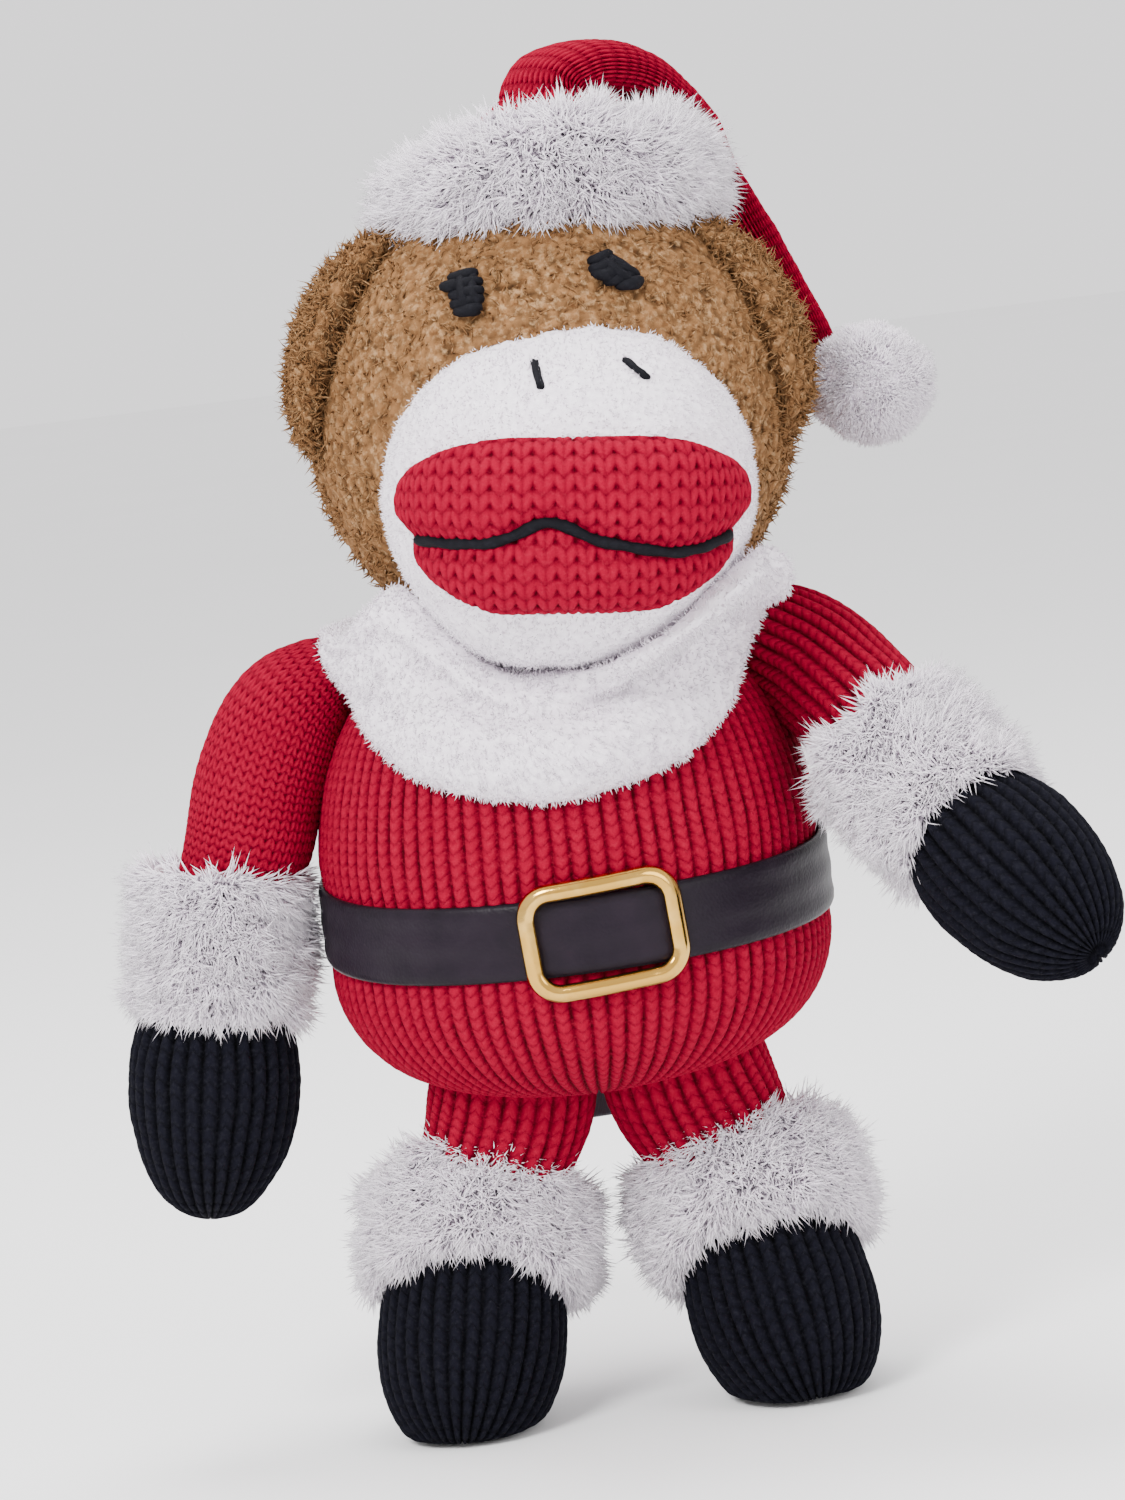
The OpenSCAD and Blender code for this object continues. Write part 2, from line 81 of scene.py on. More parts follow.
FINGERTIP = {RIGHT: np.array([-80.0, -4.0, 48.0]), LEFT: np.array([96.0, -62.0, 88.0])}
ANKLE = np.array([26.3, 6.0, 42.5])
BOOT_LEAN, BOOT_SPLAY, BOOT_L, BOOT_R = math.radians(27), math.radians(11), 52.0, 18.4

# ---- Vectors and noise --------------------------------------------------------------------


def unit(v):
    return v / np.maximum(np.linalg.norm(v, axis=-1, keepdims=True), 1e-9)


def smooth(x, low=0.0, high=1.0):
    t = np.clip((x - low) / (high - low), 0, 1)
    return t * t * (3 - 2 * t)


def lattice(i, j, k, seed):
    """A fixed random number from 0 to 1 for each whole point of a lattice."""
    h = (i * 374761393 + j * 668265263 + k * 1440662683 + seed * 974634777) & 0xFFFFFFFF
    h = ((h ^ (h >> 13)) * 1274126177) & 0xFFFFFFFF
    return ((h ^ (h >> 16)) & 0xFFFFFF) / 16777215.0


def noise(p, size, seed=0):
    """Smooth noise from -1 to 1 with features of that size."""
    q = np.asarray(p, float) / size
    base = np.floor(q).astype(np.int64)
    f = q - base
    f = f * f * (3 - 2 * f)
    total = 0
    for di in (0, 1):
        for dj in (0, 1):
            for dk in (0, 1):
                w = (
                    (f[..., 0] if di else 1 - f[..., 0])
                    * (f[..., 1] if dj else 1 - f[..., 1])
                    * (f[..., 2] if dk else 1 - f[..., 2])
                )
                total = total + w * lattice(base[..., 0] + di, base[..., 1] + dj, base[..., 2] + dk, seed)
    return 2 * total - 1


def noise3(p, size, seed=0):
    return np.stack([noise(p, size, seed + s) for s in (11, 23, 37)], -1)


def cells(p, size, seed=0):
    """Distance to the nearest of randomly placed points, about 0 to 1, for curly and lumpy surfaces."""
    q = np.asarray(p, float) / size
    base = np.floor(q).astype(np.int64)
    best = np.full(q.shape[:-1], 9.0)
    for di in (-1, 0, 1):
        for dj in (-1, 0, 1):
            for dk in (-1, 0, 1):
                c = base + np.array([di, dj, dk])
                at = np.stack([lattice(c[..., 0], c[..., 1], c[..., 2], seed + s) for s in (1, 2, 3)], -1) + c
                best = np.minimum(best, np.linalg.norm(q - at, axis=-1))
    return best


# ---- Meshes -------------------------------------------------------------------------------


class Soup:
    """Points and faces of one piece, gathered part by part."""

    def __init__(self):
        self.points, self.quads, self.tris, self.deep = [], [], [], []
        self.quad_uv, self.tri_uv, self.count = [], [], 0

    def add(self, points, quads, tris, deep, quad_uv=None):
        self.points.append(points)
        self.quads.append(quads + self.count)
        self.tris.append(tris + self.count)
        self.deep.append(deep)
        self.quad_uv.append(np.zeros((len(quads), 4, 2)) if quad_uv is None else quad_uv)
        self.tri_uv.append(np.zeros((len(tris), 3, 2)))
        self.count += len(points)

    def make(self, name, material):
        points = (np.concatenate(self.points) + SHIFT) * 0.001
        quads, tris = np.concatenate(self.quads), np.concatenate(self.tris)
        uv = np.concatenate([np.concatenate(part).reshape(-1, 2) for part in (self.quad_uv, self.tri_uv)])
        me = bpy.data.meshes.new(name)
        loops = np.concatenate([quads.ravel(), tris.ravel()]).astype(np.int32)
        starts = np.concatenate([np.arange(len(quads)) * 4, len(quads) * 4 + np.arange(len(tris)) * 3])
        me.vertices.add(len(points))
        me.vertices.foreach_set("co", points.astype(np.float32).ravel())
        me.loops.add(len(loops))
        me.loops.foreach_set("vertex_index", loops)
        me.polygons.add(len(starts))
        me.polygons.foreach_set("loop_start", starts.astype(np.int32))
        me.update(calc_edges=True)
        me.uv_layers.new(name="Stitches").data.foreach_set("uv", uv.astype(np.float32).ravel())
        # deep holds how much painted shade each point gets: hollows, creases, stitch gaps, pile roots.
        deep = me.attributes.new("deep", "FLOAT", "POINT")
        deep.data.foreach_set("value", np.clip(np.concatenate(self.deep), 0, 1).astype(np.float32))
        me.polygons.foreach_set("use_smooth", np.ones(len(starts), bool))
        me.update()
        me.materials.append(material)
        obj = bpy.data.objects.new(name, me)
        bpy.context.scene.collection.objects.link(obj)
        return obj


def normals(p, closed=True):
    """Unit normals of a grid of points whose columns go round and whose rows go along."""
    if closed:
        across = np.roll(p, -1, 1) - np.roll(p, 1, 1)
    else:
        across = np.gradient(p, axis=1)
    return unit(np.cross(across, np.gradient(p, axis=0)))


def outward(p, closed=True):
    """Normals turned to point away from the grid's own middle."""
    n = normals(p, closed)
    middle = p.mean((0, 1))
    return n if ((p - middle) * n).sum() > 0 else -n


def grid(soup, p, deep, uv=None, closed=True, caps=(True, True)):
    """Adds a tube of rings p[row, column]; uv has one more column than p when the tube closes."""
    rows, cols = p.shape[:2]
    wide = cols if closed else cols - 1
    r, c = np.meshgrid(np.arange(rows - 1), np.arange(wide), indexing="ij")
    nxt = (c + 1) % cols
    quads = np.stack([r * cols + c, r * cols + nxt, (r + 1) * cols + nxt, (r + 1) * cols + c], -1)
    quads = quads.reshape(-1, 4)
    quad_uv = None
    if uv is not None:
        quad_uv = np.stack([uv[:-1, :-1], uv[:-1, 1:], uv[1:, 1:], uv[1:, :-1]], 2).reshape(-1, 4, 2)
    points, depth, tris = p.reshape(-1, 3), deep.reshape(-1), []
    for end, row in ((0, 0), (1, rows - 1)):
        if not caps[end]:
            continue
        pole = len(points)
        points = np.vstack([points, p[row].mean(0)])
        depth = np.append(depth, deep[row].mean())
        c = np.arange(wide)
        a, b = row * cols + c, row * cols + (c + 1) % cols
        tris.append(np.stack([b, a, np.full(wide, pole)] if end == 0 else [a, b, np.full(wide, pole)], -1))
    tris = np.concatenate(tris) if tris else np.zeros((0, 3), int)
    a, b, c = (points[quads[:, k]] for k in (0, 1, 2))
    if closed and np.einsum("ij,ij->", a - points.mean(0), np.cross(b - a, c - a)) < 0:
        quads, tris = quads[:, ::-1], tris[:, ::-1]
        quad_uv = None if quad_uv is None else quad_uv[:, ::-1]
    soup.add(points, quads, tris, depth, quad_uv)


def scatter(p, n, count, rng, keep=None):
    """Random places on a tube of rings, spread evenly by area, with their normals."""
    q = np.concatenate([p, p[:, :1]], 1)
    m = np.concatenate([n, n[:, :1]], 1)
    a, b, c, d = q[:-1, :-1], q[:-1, 1:], q[1:, 1:], q[1:, :-1]
    area = np.linalg.norm(np.cross(c - a, d - b), axis=-1)
    if keep is not None:
        area = area * keep((a + c) / 2)
    pick = np.searchsorted(np.cumsum(area.ravel()) / area.sum(), rng.random(count))
    pick = np.minimum(pick, area.size - 1)
    r, col = np.divmod(pick, area.shape[1])
    s, t = rng.random((2, count, 1))

    def at(f):
        near = f[r, col] * (1 - s) + f[r, col + 1] * s
        far = f[r + 1, col] * (1 - s) + f[r + 1, col + 1] * s
        return near * (1 - t) + far * t

    return at(q), unit(at(m))


def tufts(soup, roots, way, length, width, bend, rng, root_deep, rings=2):
    """Adds tapering bent locks of pile, each a closed three-sided spike, with painted shade at the root
    fading towards the tip.
    """
    n = len(roots)
    d = unit(way)
    side = unit(np.cross(d, rng.normal(size=(n, 3))))
    other = np.cross(d, side)
    length = np.broadcast_to(length, (n,))[:, None]
    droop = side * bend * rng.uniform(0.4, 1.0, (n, 1))
    points, deep = [], []
    for k in range(rings):
        t = k / rings
        middle = roots + (d * t + droop * t * t) * length
        for m in range(3):
            angle = TURN * m / 3
            r = width * (1 - t) ** 0.6 * (0.8 if k == 0 else 1)
            points.append(middle + r * (side * math.cos(angle) + other * math.sin(angle)))
            # root_deep is painted shade at the root, fading to none at the tip.
            deep.append(np.full(n, root_deep - root_deep * t))
    points.append(roots + (d + droop) * length)
    deep.append(np.zeros(n))
    start = np.arange(n)[:, None]
    quads = [
        start + n * np.array([3 * k + m, 3 * k + (m + 1) % 3, 3 * k + 3 + (m + 1) % 3, 3 * k + 3 + m])
        for k in range(rings - 1)
        for m in range(3)
    ]
    last = 3 * (rings - 1)
    tris = [start + n * np.array([last + m, last + (m + 1) % 3, 3 * rings]) for m in range(3)]
    tris.append(start + n * np.array([2, 1, 0]))
    soup.add(*(np.concatenate(part) for part in (points, quads, tris, deep)))


def spline(points, count):
    """A smooth line through the points."""
    p = np.asarray(points, float)
    p = np.vstack([2 * p[0] - p[1], p, 2 * p[-1] - p[-2]])
    t = np.linspace(0, len(p) - 3, count)
    i = np.minimum(t.astype(int), len(p) - 4)
    f = (t - i)[:, None]
    a, b, c, d = p[i], p[i + 1], p[i + 2], p[i + 3]
    return 0.5 * (2 * b + (c - a) * f + (2 * a - 5 * b + 4 * c - d) * f**2 + (3 * b - a - 3 * c + d) * f**3)


def along(path):
    """Distance run at each point of a line."""
    return np.concatenate([[0], np.cumsum(np.linalg.norm(np.diff(path, axis=0), axis=1))])


def evenly(path, sizes, count):
    """Evenly spaced points of a line, and the sizes that go with them."""
    run = along(path)
    even = np.linspace(0, run[-1], count)
    both = [np.interp(even, run, column) for column in np.hstack([path, sizes]).T]
    return np.stack(both[:3], 1), both[3:]


def swept(path, wide, thick, count, up, square=2.0):
    """Rings round a line: half width across and half thickness towards up."""
    t = unit(np.gradient(path, axis=0))
    side = unit(np.cross(t, up))
    top = np.cross(side, t)
    a = TURN * np.arange(count) / count
    c, s = np.cos(a), np.sin(a)
    k = (np.abs(c) ** square + np.abs(s) ** square) ** (-1 / square)
    x = (c * k)[None, :, None] * np.asarray(wide)[:, None, None]
    y = (s * k)[None, :, None] * np.asarray(thick)[:, None, None]
    return path[:, None] + x * side[:, None] + y * top[:, None]


def strand(soup, path, radius, sides, ply):
    """A yarn or thread along a line, with its plies turning round it."""
    run = along(path)
    thick = np.full(len(path), radius)
    p = swept(path, thick, thick, sides, np.array([0.13, 0.31, 0.94]))
    a = TURN * np.arange(sides) / sides
    wave = 1 + ply * np.cos(2 * a[None] + run[:, None] / radius * 0.9)
    end = np.sqrt(np.clip(np.minimum(run, run[-1] - run) / radius + 0.12, 0, 1))
    p = path[:, None] + (p - path[:, None]) * wave[..., None] * end[:, None, None]
    uv = np.stack(np.meshgrid(np.arange(sides + 1) / sides, run / radius), -1)
    # ply * (1 - wave) paints shade in the grooves between the plies.
    grid(soup, p, ply * (1 - wave), uv)


# ---- Knitting -----------------------------------------------------------------------------


def stockinette(u, v):
    """Height of plain knitting, 0 to 1: columns of V-shaped stitches. u counts columns and v rows."""
    a = np.abs((u % 1) - 0.5) * 2
    p = (v - 0.5 * a) % 1
    leg = np.clip(1 - ((a - 0.5) / 0.58) ** 2, 0, 1) ** 0.5
    hole = np.exp(-(((a - 1) / 0.3) ** 2)) * (0.5 + 0.5 * np.cos(TURN * p)) ** 2
    return np.clip(leg * (0.8 + 0.2 * np.sin(math.pi * p) ** 0.7) - 0.6 * hole, 0, 1)


def ribbing(u, v, share=0.84):
    """Height of rib knitting, 0 to 1: standing columns with deep lines between them."""
    f = np.abs((u % 1) - 0.5) / share * 2
    column = np.sqrt(np.clip(1 - f**2, 0, 1))
    a = np.clip(f, 0, 1)
    p = (v - 0.5 * a) % 1
    return column * (0.91 + 0.09 * np.sin(math.pi * p))


def knitted(name, p, columns, row, depth, material, pattern, seed=0, lumps=0.35):
    """A grid of points turned into knitting: the stitches stand out of the surface, with painted shade
    between them.
    """
    n = outward(p)
    cols = p.shape[1]
    run = np.linalg.norm(np.diff(p, axis=0), axis=-1)
    run = np.vstack([np.zeros((1, cols)), np.cumsum(run, 0)]).mean(1)
    steps = np.arange(cols + 1) / cols * columns
    uv = np.stack(np.broadcast_arrays(steps[None], (run / row)[:, None]), -1)
    wobble = 0.12 * noise(p * np.array([1, 1, 0.6]), 9, seed + 5)
    u, v = uv[:, :cols, 0] + wobble, uv[:, :cols, 1] + 0.2 * noise(p, 14, seed + 6)
    h = pattern(u, v)
    soft = lumps * noise(p, 16, seed) + 0.4 * lumps * noise(p, 6, seed + 1) + 0.05 * noise(p, 0.9, seed + 2)
    soup = Soup()
    # 1 - h paints shade into the gaps between the stitches.
    grid(soup, p + n * (depth * (h - 0.45) + soft)[..., None], 1 - h, uv)
    return soup.make(name, material)


# ---- Materials ----------------------------------------------------------------------------


def socket(node, name, value):
    node.inputs[name].default_value = value


class Look:
    """A fabric or other material made of nodes: painted shade in cavities, blotches, fine bump."""

    def __init__(self, name, light, dark, rough=0.9, sheen=0.25, metal=0.0, specular=0.3):
        self.m = bpy.data.materials.new(name)
        self.m.use_nodes = True
        self.nodes, self.links = self.m.node_tree.nodes, self.m.node_tree.links
        self.nodes.clear()
        self.out = self.nodes.new("ShaderNodeOutputMaterial")
        self.bsdf = self.nodes.new("ShaderNodeBsdfPrincipled")
        self.links.new(self.bsdf.outputs[0], self.out.inputs[0])
        socket(self.bsdf, "Roughness", rough)
        socket(self.bsdf, "Sheen Weight", sheen)
        socket(self.bsdf, "Sheen Roughness", 0.5)
        socket(self.bsdf, "Sheen Tint", (*light, 1))
        socket(self.bsdf, "Metallic", metal)
        socket(self.bsdf, "Specular IOR Level", specular)
        self.where = self.nodes.new("ShaderNodeTexCoord").outputs["Object"]
        deep = self.nodes.new("ShaderNodeAttribute")
        deep.attribute_name = "deep"
        self.deep = deep.outputs["Fac"]
        # The point attribute deep mixes the dark colour in as painted shade in hollows, creases and under
        # pile.
        self.colour = self.mix(self.deep, light, dark)
        self.heights = []

    def node(self, kind, **inputs):
        n = self.nodes.new(kind)
        for key, value in inputs.items():
            slot = n.inputs[key.replace("_", " ")]
            if isinstance(value, bpy.types.NodeSocket):
                self.links.new(value, slot)
            else:
                slot.default_value = value
        return n

    def math(self, operation, a, b=0.0):
        n = self.nodes.new("ShaderNodeMath")
        n.operation = operation
        for slot, value in zip(n.inputs, (a, b)):
            if isinstance(value, bpy.types.NodeSocket):
                self.links.new(value, slot)
            else:
                slot.default_value = value
        return n.outputs[0]

    def mix(self, factor, a, b):
        n = self.nodes.new("ShaderNodeMix")
        n.data_type = "RGBA"
        for slot, value in zip((n.inputs[0], n.inputs[6], n.inputs[7]), (factor, a, b)):
            if isinstance(value, bpy.types.NodeSocket):
                self.links.new(value, slot)
            else:
                slot.default_value = (*value, 1) if isinstance(value, tuple) else value
        return n.outputs[2]

    def speckle(self, size, detail=3.0, rough=0.6):
        """Noise with features of that size in millimetres, about 0.3 to 0.7."""
        return self.node("ShaderNodeTexNoise", Vector=self.where, Scale=1000.0 / size, Detail=detail,
                         Roughness=rough).outputs["Fac"]

    def blotch(self, size, colour, low=0.45, high=0.65, strength=0.5):
        """Mixes another colour in where noise of that size runs high."""
        ramp = self.node("ShaderNodeMapRange", Value=self.speckle(size), From_Min=low, From_Max=high,
                         To_Min=0.0, To_Max=strength)
        self.colour = self.mix(ramp.outputs["Result"], self.colour, colour)
        return self

    def shade(self, value, colour, strength=1.0):
        """Mixes a colour in by another node's value."""
        self.colour = self.mix(self.math("MULTIPLY", value, strength), self.colour, colour)
        return self

    def relief(self, value, distance):
        """Adds fine relief of that height in millimetres."""
        self.heights.append((value, distance))
        return self

    def stitches(self):
        """0 on the yarn, 1 between the V-shaped stitches, from the piece's own stitch counts."""
        uv = self.nodes.new("ShaderNodeUVMap")
        uv.uv_map = "Stitches"
        xy = self.node("ShaderNodeSeparateXYZ", Vector=uv.outputs[0])
        u, v = xy.outputs[0], xy.outputs[1]
        a = self.math("ABSOLUTE", self.math("SUBTRACT", self.math("FRACT", u), 0.5))
        a = self.math("MULTIPLY", a, 2.0)
        p = self.math("FRACT", self.math("SUBTRACT", v, self.math("MULTIPLY", a, 0.5)))
        wave = self.math("ABSOLUTE", self.math("SUBTRACT", self.math("MULTIPLY", p, 2.0), 1.0))
        return self.math("POWER", wave, 3.0)

    def done(self):
        self.links.new(self.colour, self.bsdf.inputs["Base Color"])
        normal = None
        for value, distance in self.heights:
            bump = self.node("ShaderNodeBump", Height=value, Distance=distance * 0.001, Strength=1.0)
            if normal is not None:
                self.links.new(normal, bump.inputs["Normal"])
            normal = bump.outputs[0]
        if normal is not None:
            self.links.new(normal, self.bsdf.inputs["Normal"])
        return self.m


def knit_look(name, light, dark, shadow, between=0.25, sheen=0.15):
    look = Look(name, light, dark, rough=0.95, sheen=sheen, specular=0.06)
    gap = look.stitches()
    look.shade(gap, shadow, between)
    look.blotch(7.0, tuple(0.82 * c for c in light), 0.4, 0.7, 0.5)
    look.blotch(0.7, tuple(min(1.0, 1.25 * c + 0.01) for c in light), 0.5, 0.75, 0.45)
    look.relief(look.math("SUBTRACT", 1.0, gap), 0.35)
    look.relief(look.speckle(0.45, 4.0, 0.7), 0.25)
    return look.done()


def pile_look(name, light, dark):
    look = Look(name, light, dark, rough=0.95, sheen=0.2, specular=0.15)
    look.blotch(9.0, tuple(0.88 * c for c in light), 0.45, 0.7, 0.5)
    look.relief(look.speckle(0.5, 3.0, 0.7), 0.2)
    return look.done()


# Each look's second colour is the painted shade of its hollows; the red one is also painted between stitches.
RED_LIGHT, RED_SHADE = (0.27, 0.0, 0.02), (0.05, 0.0, 0.003)
RED = knit_look("red_rib_knit", RED_LIGHT, RED_SHADE, RED_SHADE, between=0.12)
RED_PLAIN = knit_look("red_plain_knit", RED_LIGHT, RED_SHADE, RED_SHADE, between=0.3)
BLACK_KNIT = knit_look("black_rib_knit", (0.005, 0.005, 0.009), (0.0005, 0.0005, 0.001),
                       (0.001, 0.001, 0.001), sheen=0.06)
# The lilac second colours are painted shade deep in the white pile and at the roots of its locks.
FUR = pile_look("white_long_pile", (0.97, 0.91, 0.97), (0.72, 0.63, 0.74))
FLEECE = pile_look("white_fleece", (0.94, 0.88, 0.94), (0.62, 0.53, 0.62))


def boucle_look():
    # The second colour is the painted shade of the hollows between the lumps.
    look = Look("brown_boucle", (0.25, 0.125, 0.052), (0.012, 0.005, 0.002),
                rough=0.95, sheen=0.1, specular=0.06)
    # Loop-sized lighter flecks are painted highlights and darker flecks painted shade, both scattered at
    # random.
    look.blotch(1.3, (0.42, 0.26, 0.13), 0.5, 0.68, 0.7)
    look.blotch(1.1, (0.07, 0.024, 0.007), 0.52, 0.66, 0.6)
    look.blotch(12.0, (0.17, 0.08, 0.032), 0.45, 0.7, 0.5)
    look.relief(look.speckle(0.5, 3.0, 0.7), 0.3)
    return look.done()


def vinyl_look():
    look = Look("black_vinyl", (0.007, 0.004, 0.008), (0.002, 0.001, 0.002),
                rough=0.42, sheen=0.0, specular=0.12)
    look.blotch(14.0, (0.013, 0.008, 0.014), 0.4, 0.7, 0.8)
    grain = look.node("ShaderNodeTexVoronoi", Vector=look.where, Scale=1500.0).outputs["Distance"]
    look.relief(grain, 0.05)
    look.relief(look.speckle(5.0), 0.15)
    return look.done()


def gold_look():
    look = Look("gold_finish", (0.55, 0.31, 0.06), (0.25, 0.12, 0.02), rough=0.14, sheen=0.0, metal=1.0)
    look.blotch(6.0, (0.7, 0.45, 0.14), 0.45, 0.65, 0.5)
    look.relief(look.speckle(1.8, 4.0, 0.6), 0.03)
    return look.done()


def thread_look():
    look = Look("black_thread", (0.003, 0.003, 0.005), (0.0005, 0.0005, 0.0005),
                rough=0.7, sheen=0.05, specular=0.1)
    look.blotch(1.5, (0.009, 0.009, 0.013), 0.5, 0.7, 0.5)
    look.relief(look.speckle(0.3, 3.0, 0.7), 0.12)
    return look.done()


def fibre_look():
    look = Look("fibre_filling", (0.88, 0.88, 0.86), (0.6, 0.6, 0.58), rough=1.0, sheen=0.4)
    look.blotch(5.0, (0.78, 0.78, 0.76), 0.4, 0.7, 0.7)
    look.relief(look.speckle(1.2, 6.0, 0.8), 0.8)
    return look.done()


def pellet_look():
    look = Look("plastic_pellets", (0.75, 0.77, 0.8), (0.5, 0.5, 0.52), rough=0.35, sheen=0.0, specular=0.5)
    beads = look.node("ShaderNodeTexVoronoi", Vector=look.where, Scale=330.0).outputs["Distance"]
    # The beads darken towards the gaps between them: painted shade.
    look.shade(beads, (0.45, 0.47, 0.5), 0.6)
    look.relief(look.math("SUBTRACT", 1.0, beads), 0.9)
    return look.done()


def satin_look():
    look = Look("label_satin", (0.05, 0.045, 0.06), (0.02, 0.02, 0.03), rough=0.45, sheen=0.2, specular=0.5)
    weave = look.node("ShaderNodeTexWave", Vector=look.where, Scale=900.0, Distortion=0.4).outputs["Fac"]
    look.shade(weave, (0.09, 0.08, 0.1), 0.5)
    look.relief(weave, 0.05)
    return look.done()


BOUCLE, VINYL, GOLD, THREAD = boucle_look(), vinyl_look(), gold_look(), thread_look()
FIBRE, PELLETS, SATIN = fibre_look(), pellet_look(), satin_look()


def metres(point):
    """A place of the design as the frame has it."""
    return (np.array(point) + SHIFT) * 0.001


def place(obj, body, nodes):
    """Makes a piece move with a body and hides the CAD nodes it stands for."""
    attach(obj, body)
    finish_piece(nodes)
    return obj


def finish_piece(nodes):
    """Hides the CAD nodes that a piece stands for."""
    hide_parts(*nodes)


# ---- Torso, belt and buckle ---------------------------------------------------------------


def torso_radius(z):
    """Radius of the belly at a height."""
    d = np.asarray(z, float) - BELLY_Z
    up = d > 0
    p = np.where(up, ROUND_UP, ROUND_DOWN)
    s = np.clip(np.abs(d) / np.where(up, TORSO_UP, TORSO_DOWN), 0, 1)
    return BELLY_R * np.clip(1 - s**p, 0, 1) ** (1 / p)


def belt_height(y):
    return BELT_Z + y * math.tan(BELT_DIP)


def torso():
    a = np.radians(np.linspace(-89.2, 84, 210))
    p = np.where(a < 0, ROUND_DOWN, ROUND_UP)
    r = BELLY_R * np.cos(a) ** (2 / p)
    z = BELLY_Z + np.where(a < 0, -TORSO_DOWN, TORSO_UP) * np.abs(np.sin(a)) ** (2 / p)
    path = np.stack([r, z], 1)
    run = along(path)
    even = np.linspace(0, run[-1], 205)
    r, z = np.interp(even, run, r), np.interp(even, run, z)
    cols = 900
    phi = TURN * np.arange(cols) / cols
    x, y = np.outer(r, np.sin(phi)), np.outer(r, np.cos(phi))
    zz = np.broadcast_to(z[:, None], x.shape)
    tight = np.exp(-(((zz - belt_height(y)) / 8.5) ** 2))
    k = 1 - 0.9 * tight / BELLY_R + 0.25 * np.exp(-(((np.abs(zz - belt_height(y)) - 13) / 6) ** 2)) / BELLY_R
    p = np.stack([x * k, y * k, zz], -1)
    away = p - DISH_AT
    far = np.linalg.norm(away, axis=-1, keepdims=True)
    p = np.where(far < DISH_R + 1, DISH_AT + away / far * (DISH_R + 1), p)
    p[..., 2] -= 0.5 * (1 - smooth(p[..., 2], 66, 80))
    obj = knitted("torso_rib_knit", p, 88, 2.3, 0.8, RED, ribbing, seed=3, lumps=0.3)
    line_neck(obj)
    place(obj, "torso", ["torso_cover"])


def line_neck(obj):
    """Gives the front of the neck opening, which the collar hides from outside, the white fleece."""
    obj.data.materials.append(FLEECE)
    middle = np.zeros(len(obj.data.polygons) * 3, np.float32)
    obj.data.polygons.foreach_get("center", middle)
    at = middle.reshape(-1, 3) * 1000 - SHIFT
    lining = (at[:, 2] > LINING_Z) & (at[:, 1] < LINING_FRONT_Y)
    obj.data.polygons.foreach_set("material_index", lining.astype(np.int32))
    obj.data.update()


def belt():
    phi = TURN * np.arange(420) / 420
    half, rim = BELT_W / 2 - 0.5, 0.5
    outline = [(-half, 0.05), (-half - rim, 0.5), (-half - rim * 0.8, 1.3), (-half + 0.3, 1.65)]
    outline += [(w, 1.7 + 0.12 * math.cos(w)) for w in np.linspace(-half + 1.6, half - 1.6, 9)]
    outline += [(half - 0.3, 1.65), (half + rim * 0.8, 1.3), (half + rim, 0.5), (half, 0.05)]
    w, off = (np.array(v)[None] for v in zip(*outline))
    y = -BELLY_R * np.cos(phi)[:, None] * np.ones_like(w)
    for _ in range(3):
        z = belt_height(y) + w + 0.35 * np.sin(3 * phi + 1)[:, None]
        r = torso_radius(z) + off - 0.25 + 0.25 * np.sin(5 * phi)[:, None]
        y = -r * np.cos(phi)[:, None]
    p = np.stack([r * np.sin(phi)[:, None], y, z], -1).transpose(1, 0, 2)
    p = np.concatenate([p, p[:1]])
    soup = Soup()
    # The rims, where the belt turns down to the knit, get painted shade.
    rim_shade = (np.abs(np.append(w, w[0, 0])) > half - 1)[:, None] * 0.4
    grid(soup, p, np.zeros(p.shape[:2]) + rim_shade, caps=(False, False))
    obj = soup.make("belt_vinyl", VINYL)
    weld(obj)
    place(obj, "torso", ["belt"])


def weld(obj):
    """Joins the points where a grid meets itself."""
    bm = bmesh.new()
    bm.from_mesh(obj.data)
    bmesh.ops.remove_doubles(bm, verts=bm.verts, dist=1e-6)
    bmesh.ops.recalc_face_normals(bm, faces=bm.faces)
    bm.to_mesh(obj.data)
    bm.free()


def buckle():
    """A cast frame that follows the belly, with a bevelled face."""
    wide, high, corner = 33.0 / 2 - 2.3, 24.0 / 2 - 2.3, 5.0
    line = []
    for cx, cz, start in ((1, 1, 0), (-1, 1, 90), (-1, -1, 180), (1, -1, 270)):
        for step in range(13):
            a = math.radians(start + 90 * step / 12)
            middle = cx * (wide - corner), cz * (high - corner)
            line.append((middle[0] + corner * math.cos(a), middle[1] + corner * math.sin(a)))
    line = np.array(line)
    path = np.vstack([line, line[:1]])
    run = along(path)
    at = np.linspace(0, run[-1], 201)[:-1]
    line = np.stack([np.interp(at, run, path[:, k]) for k in (0, 1)], 1)
    way = unit(np.roll(line, -1, 0) - np.roll(line, 1, 0))
    out = np.stack([way[:, 1], -way[:, 0]], 1)
    section = [(-1.7, 0.2), (-1.75, 1.4), (-1.5, 2.2), (-0.9, 2.7), (0.0, 2.95)]
    section += [(0.9, 2.8), (1.5, 2.3), (1.8, 1.4), (1.75, 0.2)]
    tilt = math.radians(-3.5)
    rows = []
    for across, off in section:
        st = line + out * across
        s = st[:, 0] * math.cos(tilt) + st[:, 1] * math.sin(tilt)
        t = -st[:, 0] * math.sin(tilt) + st[:, 1] * math.cos(tilt)
        x, z = 4.5 + s, belt_height(-50.0) + t
        y = -np.sqrt(torso_radius(z) ** 2 - x**2) - 1.2 - off
        rows.append(np.stack([x, y, z], -1))
    p = np.array(rows + rows[:1])
    soup = Soup()
    grid(soup, p, np.zeros(p.shape[:2]), caps=(False, False))
    obj = soup.make("belt_buckle_gold", GOLD)
    weld(obj)
    place(obj, "torso", ["belt_buckle"])


LABEL_W, LABEL_T, LABEL_DROP, LABEL_FOLD = 12.0, 0.25, 13.5, 0.55


